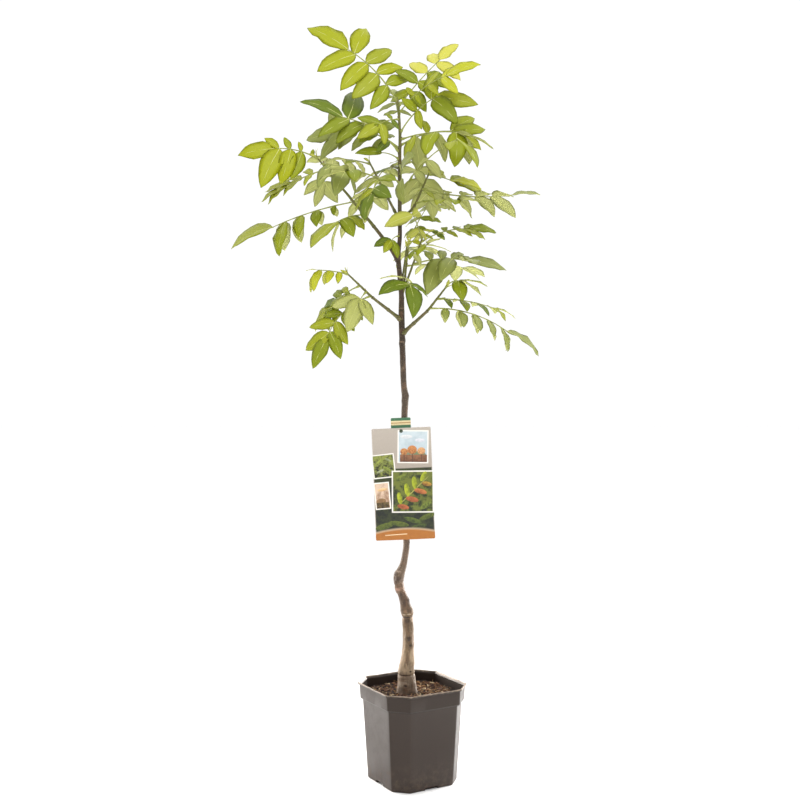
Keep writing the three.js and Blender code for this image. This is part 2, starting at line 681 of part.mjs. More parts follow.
function makeLabelGeometry() {
  const { width, height, tab, hole, thick } = LABEL;
  const side = width / 2;
  const top = height / 2;
  const card = new THREE.Shape();
  card.moveTo(-side, -top);
  card.lineTo(side, -top);
  card.lineTo(side, top);
  card.lineTo(tab.width / 2, top);
  card.lineTo(tab.width / 2, top + tab.height);
  card.lineTo(-tab.width / 2, top + tab.height);
  card.lineTo(-tab.width / 2, top);
  card.lineTo(-side, top);
  card.closePath();
  const eye = new THREE.Path();
  eye.absarc(0, top - hole.below, hole.size / 2, 0, 2 * Math.PI, true);
  card.holes.push(eye);
  return new THREE.ExtrudeGeometry(card, { depth: thick, bevelEnabled: false, curveSegments: hole.sides });
}

function rod(from, to, thick) {
  return limb([from, to], [thick, thick], TIE.sides);
}

function makeTie() {
  const hole = labelHole();
  const middle = trunkAt(hole.z);
  const half = new THREE.Vector3(0, 0, TIE.high / 2);
  const collar = rod(middle.clone().sub(half), middle.clone().add(half), TIE.collar);
  const under = new THREE.Vector3(hole.x, -TIE.collar / 4, hole.z);
  const face = new THREE.Vector3(hole.x, LABEL.front - GAP, hole.z);
  const front = face.clone().setY(face.y - TIE.headThick);
  return wasm.Manifold.union([collar, rod(under, front, TIE.pin), rod(face, front, TIE.head)])
    .subtract(rooms.trunk);
}

// ---------------------------------------------------------------- the whole plant

const COLOURS = {
  pot: { color: 0x544a45, roughness: 0.55 },
  soil: { color: 0x4a3122, roughness: 0.95 },
  bark: { color: 0x7a6657, roughness: 0.85 },
  twig: { color: 0x5f5233, roughness: 0.75 },
  leaf: { color: 0x86a238, roughness: 0.5 },
  card: { color: 0xc8beb0, roughness: 0.45 },
  tie: { color: 0x3d4a35, roughness: 0.5 },
};

const tree = new THREE.Group();

function addPiece(name, geometry, finish) {
  const material = new THREE.MeshStandardMaterial({ ...COLOURS[finish], metalness: 0 });
  const mesh = new THREE.Mesh(geometry, material);
  mesh.name = name;
  tree.add(mesh);
  return mesh;
}

for (const [name, solid, finish] of [['pot', makePot(), 'pot'], ['soil', makeSoil(), 'soil']]) {
  addPiece(name, toGeometry(solid), finish).rotation.z = radians(POT.turn);
}
addPiece('trunk', toGeometry(makeTrunk()), 'bark');
for (const name of Object.keys(BOUGHS)) {
  addPiece(name, toGeometry(makeBough(name)), 'twig');
}
for (const grown of growMasses()) {
  addPiece(grown.mass.name, toGeometry(makeMass(grown)), 'leaf');
}

const card = addPiece('label_card', makeLabelGeometry(), 'card');
card.position.set(LABEL.middle.x, LABEL.front + LABEL.thick, LABEL.middle.z);
card.rotation.set(Math.PI / 2, 0, 0);
card.rotateZ(radians(LABEL.lean));
addPiece('label_tie', toGeometry(makeTie()), 'tie');

export default tree;
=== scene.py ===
import math

import bmesh
import bpy
import numpy as np
from mathutils import Matrix, Vector, noise


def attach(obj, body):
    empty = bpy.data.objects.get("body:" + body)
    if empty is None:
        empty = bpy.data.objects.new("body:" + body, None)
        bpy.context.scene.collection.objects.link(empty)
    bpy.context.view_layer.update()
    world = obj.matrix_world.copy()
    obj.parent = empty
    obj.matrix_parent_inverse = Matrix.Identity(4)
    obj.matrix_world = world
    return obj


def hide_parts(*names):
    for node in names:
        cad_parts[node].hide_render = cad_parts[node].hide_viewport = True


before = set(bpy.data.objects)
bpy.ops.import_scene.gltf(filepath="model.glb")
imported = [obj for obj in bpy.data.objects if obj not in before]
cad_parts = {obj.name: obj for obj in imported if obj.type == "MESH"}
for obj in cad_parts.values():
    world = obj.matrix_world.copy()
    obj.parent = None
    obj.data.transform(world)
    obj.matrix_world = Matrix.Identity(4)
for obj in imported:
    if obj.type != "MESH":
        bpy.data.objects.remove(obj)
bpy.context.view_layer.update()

# A young grafted walnut tree in a square nursery pot, with a hanging picture card.
#
# Sizes are in millimetres until a mesh is made. The origin is the middle of the pot's underside,
# +Z is up, +X the tree's right as seen from the front and +Y its back. Every turn is an angle from
# +X towards +Y and every rise an angle up from level, both in degrees.

MM = 0.001

# ---------------------------------------------------------------- driving sizes

GAP = 0.3  # clear space between the tree's limbs, stalks and leaflets
UP = np.array((0.0, 0.0, 1.0))

POT_TURN = 29.8  # how far the pot is turned on the ground
POT_WALL = 2.0
POT_FLOOR = 3.0
# The pot's levels up to its lip: height, half its width across the long sides, and what each corner
# side cuts off.
POT_LEVELS = [
    (0, 71.5, 25),
    (3, 73.5, 25.7),
    (154.5, 82.5, 30),
    (156.5, 86.5, 31.5),
    (183.5, 88, 32.5),
]
DRAIN = dict(width=28, height=5.5, deep=14, round=2.2)
SOIL_TOP = 169.2

# The trunk's knots: height, then how far right and back its middle lies, then its diameter.
TRUNK = [
    (SOIL_TOP + GAP, -10.2, 0, 41),
    (180, -10.5, 0, 37),
    (203, -11.6, 0, 34),
    (210, -11.4, 0, 31),
    (244, -8.3, 0, 24),
    (286, -7.3, 1, 21.6),
    (326, -9.6, 2, 22),
    (353, -16.5, 3, 18),
    (373, -24.2, 4, 16.6),
    (390, -28, 4, 20.5),
    (401, -24, 4, 19),
    (421, -16.7, 3, 13.8),
    (455, -11, 2, 12.8),
    (587, -14.2, 0, 12.8),
    (711, -15.5, 0, 12.6),
    (750, -13.4, 0, 13.6),
    (772, -16.7, 0, 11.8),
    (856, -19.5, 0, 11.8),
    (911, -21, 0, 12.2),
    (951, -21, 0, 10),
    (1028, -28.1, 0, 9.6),
    (1064, -24, 0, 8.2),
    (1154, -24.8, 0, 7.8),
    (1215, -24.6, 0, 6.8),
    (1260, -24, 0, 5.8),
    (1305, -25.6, 0, 4.8),
    (1330, -28.5, 0, 5.2),
    (1341, -30.5, 0, 2),
]
STUB = dict(height=1198, turn=188, rise=20, long=19)
STUB_PROFILE = [(0, 2.4), (0.3, 1.6), (0.62, 1.5), (0.8, 2.9), (0.94, 2.7), (1, 1.2)]  # place, radius

# Woody boughs, from the trunk's middle at a height to where their leafy shoot starts.
BOUGHS = {
    "bough_low_right": dict(height=874, turn=356, rise=42, long=68, thick=8, tip=5.6),
    "bough_low_left": dict(height=901, turn=196, rise=36, long=74, thick=7.4, tip=5.2),
    "bough_mid_left": dict(height=1018, turn=186, rise=58, bend=-8, long=84, thick=8, tip=6.6),
    "bough_upper_left": dict(height=1096, turn=190, rise=62, long=50, thick=6, tip=4.8),
    "bough_upper_right": dict(height=1100, turn=338, rise=24, bend=30, long=42, thick=6, tip=4.8),
    "bough_back": dict(height=942, turn=80, rise=50, long=64, thick=6.4, tip=4.8),
}
BOUGH_STEPS = 4

LABEL = dict(
    wide=116, high=219, thick=0.8, tab_wide=39, tab_high=20, lean=2.4, x=-17.5, z=580, front=-10.2,
    pin_below=6,
)
TIE = dict(collar=17, high=7, pin=3.4, head=8)

# ---------------------------------------------------------------- the foliage's named sizes

# What a leaf has unless its own line says otherwise. Its stalk has a length (long), and its heading
# turns (sweep) and rises (bend) by so much on the way. The blade is rolled about the stalk (roll). It
# has so many pairs of leaflets of a length (leaflet), each so wide for its length (slim), and the
# lowest pair has only a share of that length (grow). The pairs sit on the stalk from one place (first)
# to another (last) and stand off at an angle (spread), which is turned to one side for both hands
# alike (skew). They droop (hang), and one hand's leaflets are longer than the other's (lop). The
# leaflet at the end has its share of the length (end), droop (end_hang) and turn about the stalk
# (end_roll).
LEAF = dict(
    long=130,
    sweep=0,
    bend=-14,
    roll=0,
    pairs=3,
    leaflet=70,
    slim=0.47,
    grow=0.6,
    first=0.36,
    last=0.92,
    spread=52,
    skew=0,
    hang=0.45,
    lop=0,
    end=1.08,
    end_hang=0.07,
    end_roll=0,
)
# Every leaflet's thickness, bow and fold, as shares of its length or width, how much further the lowest
# pair splays, how far its root sinks into the stalk, how far a leaf may lean either way, and how far
# down the stalk the second hand of a pair sits.
LEAFLET = dict(
    thick=0.026, arch=0.06, fold=0.14, splay=34, sink=0.3, end_sink=1.2, lean=18, stagger=0.02
)
STALK = dict(foot=3.6, tip=2.2, steps=5)
SHOOT = dict(steps=5, tip=3.4)

# Each mass: the limb it grows from, the seed of its small differences, its shoot where it has one,
# and its leaves. A shoot goes on from a bough's tip or leaves the trunk at a height, and "at" is a
# leaf's place along it. A mass without a shoot is one leaf that leaves the trunk at a height. A leaf
# with two tints has the first on the leaflets of its lower half, nearer the foot of its stalk.
MASSES = [
    dict(name="leaves_top_left", on="trunk", height=1328, seed=11, leaves=[
        dict(tint="lime bright", turn=172, rise=63, long=150, bend=-30, roll=76, leaflet=86, slim=0.46,
            first=0.3, last=0.9, pairs=4, spread=74, skew=3, grow=0.76, hang=0.08, lop=-0.12, end=1.08,
            end_hang=0.12),
    ]),
    dict(name="leaves_top_front", on="trunk", height=1296, seed=12, leaves=[
        dict(tint="mid fresh", turn=214, rise=-4, long=52, bend=-30, roll=44, pairs=2, leaflet=46,
            spread=60, hang=0.2, end=1.2),
    ]),
    dict(name="leaves_top_right", on="trunk", height=1320, seed=13, leaves=[
        dict(tint="fresh straw", turn=24, rise=54, long=140, bend=-10, roll=-56, pairs=4, leaflet=58,
            slim=0.5, first=0.3, grow=0.9, end=0.94),
    ]),
    dict(name="leaves_top_right_front", on="trunk", height=1308, seed=39, leaves=[
        dict(tint="fresh young", turn=334, rise=50, long=121, bend=-38, roll=-50, pairs=3, leaflet=50,
            slim=0.4, spread=40, first=0.4, end=1.36),
    ]),
    dict(name="leaves_top_back", on="trunk", height=1288, seed=14, leaves=[
        dict(tint="grey", turn=98, rise=52, long=120, bend=-20, pairs=3, leaflet=52),
    ]),
    dict(name="leaves_high_right", on="trunk", height=1268, seed=15, leaves=[
        dict(tint="fresh lime", turn=352, rise=62, long=104, bend=-36, roll=-66, pairs=2, leaflet=70,
            slim=0.44, spread=74, skew=8, first=0.55, last=0.9, hang=0.1, end=1.3, end_hang=0.5),
    ]),
    dict(name="leaves_high_left", on="trunk", height=1230, seed=16, leaves=[
        dict(tint="mid", turn=190, rise=52, long=134, bend=-44, roll=64, pairs=4, leaflet=92, slim=0.4,
            first=0.26, spread=74, skew=25, hang=0.12, lop=0.14, end=0.88, end_hang=-0.12),
    ]),
    dict(name="leaves_high_left_back", on="trunk", height=1238, seed=17, leaves=[
        dict(tint="grey", turn=160, rise=44, long=146, bend=-52, roll=56, pairs=4, leaflet=68, slim=0.42,
            spread=50, skew=12, first=0.3, hang=0.15),
    ]),
    dict(name="leaves_high_front_left", on="trunk", height=1216, seed=18, leaves=[
        dict(tint="mid", turn=212, rise=34, long=46, bend=-44, roll=50, pairs=1, leaflet=60, spread=40,
            end=1.34, end_hang=0.1),
    ]),
    dict(name="leaves_high_right_back", on="trunk", height=1244, seed=19, leaves=[
        dict(tint="fresh lime", turn=22, rise=36, long=124, bend=-34, roll=-68, pairs=2, leaflet=72,
            slim=0.4, spread=34, first=0.55, last=0.97, grow=0.5, hang=0.1, end_hang=-0.1),
    ]),
    dict(name="leaves_high_right_front", on="trunk", height=1256, seed=20, leaves=[
        dict(tint="fresh lime", turn=335, rise=13, long=122, bend=-24, pairs=3, leaflet=78, first=0.26,
            last=0.98, grow=0.85, spread=72, hang=1.3, end_hang=0.6),
    ]),
    dict(name="leaves_middle_front", on="trunk", height=1206, seed=21, leaves=[
        dict(tint="grey", turn=275, rise=-16, long=56, bend=-50, roll=-50, pairs=1, leaflet=74, spread=70,
            last=0.7, hang=0, end=0.8),
    ]),
    dict(name="leaves_middle_front_left", on="trunk", height=1170, seed=22, leaves=[
        dict(tint="mid", turn=240, rise=26, long=120, bend=-90, pairs=3, leaflet=62, spread=60, hang=0.2),
    ]),
    dict(name="leaves_middle_back_left", on="trunk", height=1182, seed=23, leaves=[
        dict(tint="deep", turn=115, rise=50, long=160, bend=-110, pairs=4, leaflet=68, hang=0.2),
    ]),
    dict(name="leaves_middle_back_right", on="trunk", height=1200, seed=24, leaves=[
        dict(tint="mid", turn=70, rise=50, long=150, bend=-110, pairs=4, leaflet=68, hang=0.2),
    ]),
    dict(name="leaves_middle_right_front", on="trunk", height=1146, seed=25, leaves=[
        dict(tint="fresh", turn=316, rise=50, long=177, bend=-40, pairs=4, leaflet=68, hang=0.6,
            end_hang=1.2),
    ]),
    dict(name="leaves_knot_front", on="trunk", height=1066, seed=40, leaves=[
        dict(tint="mid", turn=236, rise=2, long=34, bend=-50, roll=30, pairs=1, leaflet=40, hang=0.4),
    ]),
    dict(name="leaves_low_front", on="trunk", height=984, seed=26, leaves=[
        dict(tint="deep", turn=284, rise=4, long=84, bend=-40, roll=14, pairs=2, leaflet=60, spread=70,
            hang=0.3, lop=0.24, end_hang=1.2),
    ]),
    dict(name="foliage_low_right", on="bough_low_right", seed=31, shoot=dict(rise=52, long=58), leaves=[
        dict(tint="grey", at=0.1, turn=352, rise=2, long=162, bend=-38, pairs=5, leaflet=54, first=0.2,
            hang=1, end=1.34, end_roll=-18),
        dict(tint="mid fresh", at=0.5, turn=20, rise=3, long=128, bend=-20, roll=-24, pairs=4, leaflet=50,
            slim=0.4, spread=60, first=0.14, grow=0.8, hang=0.3),
        dict(tint="fresh", at=0.97, turn=330, rise=56, long=36, bend=-70, pairs=1, leaflet=62, hang=0.6),
    ]),
    dict(name="foliage_low_left", on="bough_low_left", seed=32, shoot=dict(rise=42, long=66), leaves=[
        dict(tint="mid", at=0.06, turn=198, rise=-18, long=124, bend=-50, roll=64, pairs=4, leaflet=58,
            hang=0.3),
        dict(tint="mid fresh", at=0.5, turn=162, rise=-18, long=80, bend=-34, roll=64, pairs=4, leaflet=54,
            hang=0.3),
        dict(tint="young", at=0.98, turn=190, rise=14, long=60, bend=-14, pairs=3, leaflet=50, first=0.3,
            hang=1.2, end=0.5),
        dict(tint="pale", at=0.24, turn=236, rise=-30, long=26, bend=-20, pairs=1, leaflet=60, roll=50,
            spread=60, end=1.3, end_hang=0.3),
    ]),
    dict(name="foliage_mid_left", on="bough_mid_left", seed=33, shoot=dict(rise=50, long=172), leaves=[
        dict(tint="mid", at=0.16, turn=226, rise=-6, long=78, bend=-22, pairs=3, leaflet=64, slim=0.5,
            last=0.8, spread=78, hang=1.3, end=1.36, end_hang=0.44, end_roll=16),
        dict(tint="mid", at=0.72, turn=140, rise=30, long=30, bend=-100, pairs=1, leaflet=52, hang=0.2),
        dict(tint="grey", at=0.9, turn=322, rise=-6, long=70, bend=-24, pairs=2, leaflet=62, first=0.25,
            grow=0.95, spread=70, hang=1.1, end_hang=1.2),
        dict(tint="deep", at=0.7, turn=80, rise=60, long=74, bend=-20, pairs=3, leaflet=56, hang=0.2),
        dict(tint="fresh", at=0.83, turn=164, rise=-12, long=84, bend=-12, roll=52, pairs=3, leaflet=66,
            slim=0.4, spread=20, hang=0.05),
        dict(tint="lime bright", at=0.98, turn=192, rise=28, long=86, bend=-34, roll=62, pairs=4,
            leaflet=66, first=0.16, grow=0.5, spread=54, hang=0.2, lop=-0.5, end=1.26, end_hang=0.12),
    ]),
    dict(name="foliage_upper_left", on="bough_upper_left", seed=34, shoot=dict(rise=62, long=80), leaves=[
        dict(tint="deep fresh", at=0.02, turn=168, rise=-2, long=244, bend=-20, pairs=4, leaflet=72,
            slim=0.56, first=0.47, last=0.9, grow=0.35, spread=72, hang=1.5, end=1.3, end_hang=0.05,
            end_roll=20),
        dict(tint="mid", at=0.3, turn=110, rise=8, long=110, pairs=3, leaflet=64, hang=0.6),
        dict(tint="mid", at=0.55, turn=236, rise=6, long=100, pairs=3, leaflet=68, hang=0.7),
        dict(tint="mid", at=0.93, turn=140, rise=20, long=116, pairs=3, leaflet=64),
    ]),
    dict(name="foliage_upper_right", on="bough_upper_right", seed=35, shoot=dict(rise=64, long=66), leaves=[
        dict(tint="mid", at=0.05, turn=322, rise=4, long=100, pairs=3, leaflet=54),
        dict(tint="fresh", at=0.3, turn=75, rise=58, long=80, bend=-100, pairs=3, leaflet=56, hang=0.2),
        dict(tint="grey", at=0.5, turn=348, rise=-17, long=178, bend=22, pairs=4, leaflet=68, first=0.28,
            last=0.79, spread=46, hang=0.36, end=0.92, end_roll=-40),
        dict(tint="bright", at=0.97, turn=16, rise=-6, long=50, bend=-12, roll=-46, pairs=2, leaflet=66,
            spread=30, hang=0.1, end=1.2),
    ]),
    dict(name="foliage_back", on="bough_back", seed=36, shoot=dict(rise=60, long=90), leaves=[
        dict(tint="deep", at=0.3, turn=40, rise=10, long=150, pairs=4, leaflet=66),
        dict(tint="mid", at=0.6, turn=84, rise=20, long=170, pairs=4, leaflet=68),
        dict(tint="mid", at=0.95, turn=65, rise=50, long=130, pairs=3, leaflet=60),
    ]),
    dict(name="shoot_right", on="trunk", height=948, seed=37,
        shoot=dict(turn=350, rise=70, long=122, thick=5), leaves=[
        dict(tint="grey", at=0.54, turn=18, rise=21, long=116, bend=-30, roll=-44, pairs=4, leaflet=80,
            slim=0.4, spread=76, skew=32, grow=0.8, hang=0.3, lop=0.36, end=1.2, end_hang=0.1),
        dict(tint="mid", at=0.92, turn=15, rise=34, long=106, bend=-34, roll=-30, pairs=4, leaflet=46,
            slim=0.42, spread=40, hang=0.2, end=1.2, end_roll=-20),
        dict(tint="young", at=0.97, turn=225, rise=70, long=56, bend=-20, pairs=2, leaflet=58, slim=0.42,
            hang=0.7),
    ]),
    dict(name="shoot_middle", on="trunk", height=962, seed=38,
        shoot=dict(turn=40, rise=80, long=86, thick=4.4), leaves=[
        dict(tint="fresh", at=0.7, turn=300, rise=20, long=90, pairs=3, leaflet=52, hang=0.5),
        dict(tint="young", at=0.95, turn=60, rise=40, long=90, pairs=3, leaflet=44),
    ]),
]

# Small turns that a stalk or a leaflet tries, in this order, when its own place is taken.
STALK_TRIES = (0, 8, -8, 16, -16, 24, -24)
LEAFLET_TRIES = (0, 16, -16, 32, -32, 48, -48)

# ---------------------------------------------------------------- headings, paths and chance


def heading(turn, rise):
    """The direction of a turn and a rise."""
    level = math.cos(math.radians(rise))
    return np.array((
        level * math.cos(math.radians(turn)),
        level * math.sin(math.radians(turn)),
        math.sin(math.radians(rise)),
    ))


def unit(direction):
    return direction / math.sqrt(direction @ direction)


def square_to(direction, other):
    """What is left of a direction once its share along another is taken away."""
    return unit(direction - other * (direction @ other))


def turned(direction, axis, degrees):
    """A direction turned about an axis by the right-hand rule."""
    angle = math.radians(degrees)
    along = axis * (axis @ direction) * (1 - math.cos(angle))
    return direction * math.cos(angle) + np.cross(axis, direction) * math.sin(angle) + along


def walk(start, steps, turn, rise, long, sweep=0, bend=0, **rest):
    """The points of a limb whose heading changes evenly from its foot to its tip. What else a limb's
    sizes say is left aside."""
    points = [start]
    for i in range(steps):
        half = (i + 0.5) / steps
        points.append(points[i] + heading(turn + sweep * half, rise + bend * half) * (long / steps))
    return points


def place_on(points, fraction):
    """The point and heading a fraction of the way along a path."""
    steps = len(points) - 1
    step = min(math.floor(fraction * steps), steps - 1)
    ahead = points[step + 1] - points[step]
    return points[step] + ahead * (fraction * steps - step), unit(ahead)


def chance_from(seed):
    """Even chance from a seed, by the minimal standard generator."""
    state = seed * 7919

    def chance():
        nonlocal state
        state = (state * 48271) % 2147483647
        return state / 2147483647

    return chance


def taper(foot, tip, steps):
    """Thicknesses that go evenly from a foot's to a tip's."""
    return [foot + (tip - foot) * i / steps for i in range(steps + 1)]


# ---------------------------------------------------------------- the space that is taken


class Space:
    """Boxes that follow the limbs, stalks and leaflets as they are placed, each with its owner."""

    def __init__(self):
        self.middles, self.axes, self.halves, self.owners = [], [], [], []

    def take(self, boxes):
        """These boxes are taken from now on."""
        for middle, axes, halves, owner in boxes:
            self.middles.append(middle)
            self.axes.append(axes)
            self.halves.append(halves)
            self.owners.append(owner)

    def is_free(self, boxes, friends):
        """Whether these boxes keep clear of all that is taken by others than their friends."""
        strangers = [i for i, owner in enumerate(self.owners) if owner not in friends]
        middles = np.array([self.middles[i] for i in strangers])
        axes = np.array([self.axes[i] for i in strangers])
        halves = np.array([self.halves[i] for i in strangers])
        reaches = np.sqrt((halves**2).sum(1))
        for middle, own_axes, own_halves, _ in boxes:
            across = middles - middle
            reach = math.sqrt(own_halves @ own_halves)
            near = np.sqrt((across**2).sum(1)) <= reach + reaches + GAP
            if near.any() and not self.apart(across[near], own_axes, own_halves, axes[near], halves[near]):
                return False
        return True

    @staticmethod
    def apart(across, own_axes, own_halves, axes, halves):
        """Boxes are apart when some face direction or crossed edge direction separates them."""
        count = len(across)
        crossed = np.cross(own_axes[None, :, None, :], axes[:, None, :, :]).reshape(count, 9, 3)
        tried = np.concatenate([np.broadcast_to(own_axes, (count, 3, 3)), axes, crossed], 1)
        size = np.sqrt((tried**2).sum(2))
        own_share = np.abs(np.einsum("kta,ba->ktb", tried, own_axes)) @ own_halves
        share = np.einsum("ktb,kb->kt", np.abs(np.einsum("kta,kba->ktb", tried, axes)), halves)
        gap = np.abs(np.einsum("kta,ka->kt", tried, across)) - own_share - share - GAP * size
        return bool(((gap > 0) & (size > 1e-6)).any(1).all())


def limb_boxes(points, thick, owner):
    """One box along each step of a limb."""
    boxes = []
    for i, (before, point) in enumerate(zip(points, points[1:])):
        ahead = unit(point - before)
        side = square_to(UP if abs(ahead[2]) < 0.9 else np.array((1.0, 0.0, 0.0)), ahead)
        radius = max(thick[i], thick[i + 1]) / 2
        length = math.sqrt((point - before) @ (point - before))
        axes = np.array((ahead, side, np.cross(ahead, side)))
        boxes.append(((point + before) / 2, axes, np.array((length / 2, radius, radius)), owner))
    return boxes


# ---------------------------------------------------------------- limbs and leaves take their places

trunk_points = [np.array((x, y, height), float) for height, x, y, _ in TRUNK]
trunk_heights = [knot[0] for knot in TRUNK]
trunk_thick = [knot[3] for knot in TRUNK]


def trunk_at(height):
    """The trunk's middle at a height."""
    above = max(next(i for i, point in enumerate(trunk_points) if point[2] > height), 1)
    low, high = trunk_points[above - 1], trunk_points[above]
    return low + (high - low) * ((height - low[2]) / (high[2] - low[2]))


def trunk_radius(height):
    return float(np.interp(height, trunk_heights, trunk_thick)) / 2


bough_paths = {
    name: walk(trunk_at(bough["height"]), BOUGH_STEPS, **bough) for name, bough in BOUGHS.items()
}


def shoot_of(mass):
    """A mass's shoot goes on from its bough's tip, or leaves the trunk's middle at a height."""
    if "shoot" not in mass:
        return None
    if mass["on"] == "trunk":
        points = walk(trunk_at(mass["height"]), SHOOT["steps"], **mass["shoot"])
        return points, taper(mass["shoot"]["thick"], SHOOT["tip"], SHOOT["steps"])
    bough = BOUGHS[mass["on"]]
    course = {"turn": bough["turn"], **mass["shoot"]}
    points = walk(bough_paths[mass["on"]][-1], SHOOT["steps"], **course)
    return points, taper(bough["tip"], SHOOT["tip"], SHOOT["steps"])


def place_stalk(space, leaf, start, friends, owner):
    """The stalk of a leaf tries small turns until its room is free."""
    thick = taper(STALK["foot"], STALK["tip"], STALK["steps"])
    for swing in STALK_TRIES:
        points = walk(start, STALK["steps"], **{**leaf, "turn": leaf["turn"] + swing})
        boxes = limb_boxes(points, thick, owner)
        if space.is_free(boxes, friends):
            space.take(boxes)
            return points
    return None


def pose_leaflet(point, ahead, face, hang, length, slim, sink):
    """One leaflet's own frame and size, with its root sunk past the point where it leaves the stalk."""
    along = unit(ahead - UP * hang)
    normal = square_to(face, along)
    side = np.cross(along, normal)
    return dict(root=point - along * sink, along=along, normal=normal, side=side,
                length=length, width=length * slim)


def leaflet_box(leaflet, owner):
    """The box round a leaflet, as deep as its bow and its fold."""
    length, width = leaflet["length"], leaflet["width"]
    rise = length * LEAFLET["arch"] + (width / 2) * LEAFLET["fold"]
    middle = leaflet["root"] + leaflet["along"] * (length / 2) + leaflet["normal"] * (rise / 2)
    axes = np.array((leaflet["along"], leaflet["side"], leaflet["normal"]))
    halves = np.array((length / 2, width / 2, (rise + length * LEAFLET["thick"]) / 2))
    return middle, axes, halves, owner


def place_leaflets(space, leaf, stalk, chance, owner):
    """The leaflets of one leaf, pair by pair up its stalk and one at the end."""
    leaflets = []

    def about(value, share):
        return value * (1 + share * (2 * chance() - 1))

    lean = LEAFLET["lean"] * (2 * chance() - 1)

    def put(fraction, hand, size, angle, droop):
        point, ahead = place_on(stalk, fraction)
        roll = leaf["roll"] if hand else leaf["roll"] + leaf["end_roll"]
        face = turned(square_to(UP, ahead), ahead, lean - roll)
        across = np.cross(ahead, face)
        spread = about(angle, 0.14) * hand + leaf["skew"] if hand else 0
        length = about(size, 0.1)
        slim = about(leaf["slim"], 0.1)
        hang = about(droop, 0.4)
        straight = turned(ahead, face, -spread)
        hinge = ahead if hand else across
        sink = LEAFLET["sink"] if hand else LEAFLET["end_sink"]
        for swing in LEAFLET_TRIES:
            way = turned(straight, hinge, swing)
            leaflet = pose_leaflet(point, way, face, hang, length, slim, sink)
            box = leaflet_box(leaflet, owner)
            if space.is_free([box], (owner,)):
                space.take([box])
                leaflets.append(leaflet)
                return

    for pair in range(leaf["pairs"]):
        up = pair / (leaf["pairs"] - 1) if leaf["pairs"] > 1 else 1
        fraction = leaf["first"] + (leaf["last"] - leaf["first"]) * up
        size = leaf["leaflet"] * (leaf["grow"] + (1 - leaf["grow"]) * up)
        angle = leaf["spread"] + LEAFLET["splay"] * (1 - up)
        put(fraction, 1, size * (1 + leaf["lop"]), angle, leaf["hang"])
        put(fraction - LEAFLET["stagger"], -1, size * (1 - leaf["lop"]), angle, leaf["hang"])
    put(1, 0, leaf["leaflet"] * leaf["end"], 0, leaf["end_hang"])
    return leaflets


def grow_masses():
    """Every stalk finds its room before any leaflet does."""
    space = Space()
    space.take(limb_boxes(trunk_points, trunk_thick, "trunk"))
    for name, bough in BOUGHS.items():
        thick = taper(bough["thick"], bough["tip"], BOUGH_STEPS)
        space.take(limb_boxes(bough_paths[name], thick, name))
    grown = []
    for mass in MASSES:
        shoot = shoot_of(mass)
        if shoot:
            space.take(limb_boxes(*shoot, mass["name"]))
        grown.append(dict(mass=mass, shoot=shoot, leaves=[]))
    for item in grown:
        mass, shoot = item["mass"], item["shoot"]
        for i, own in enumerate(mass["leaves"]):
            leaf = {**LEAF, **own}
            start = place_on(shoot[0], leaf["at"])[0] if shoot else trunk_at(mass["height"])
            owner = f"{mass['name']}/{i}"
            stalk = place_stalk(space, leaf, start, (owner, mass["name"], mass["on"]), owner)
            if stalk:
                item["leaves"].append(dict(sizes=leaf, stalk=stalk, owner=owner))
    for item in grown:
        chance = chance_from(item["mass"]["seed"])
        for leaf in item["leaves"]:
            leaf["leaflets"] = place_leaflets(space, leaf["sizes"], leaf["stalk"], chance, leaf["owner"])
    return grown


# ---------------------------------------------------------------- finishes


def shade(red, green, blue):
    """A colour given as screen values from 0 to 255, as the shader takes it."""
    screen = [value / 255 for value in (red, green, blue)]
    linear = [c / 12.92 if c <= 0.04045 else ((c + 0.055) / 1.055) ** 2.4 for c in screen]
    return (*linear, 1.0)


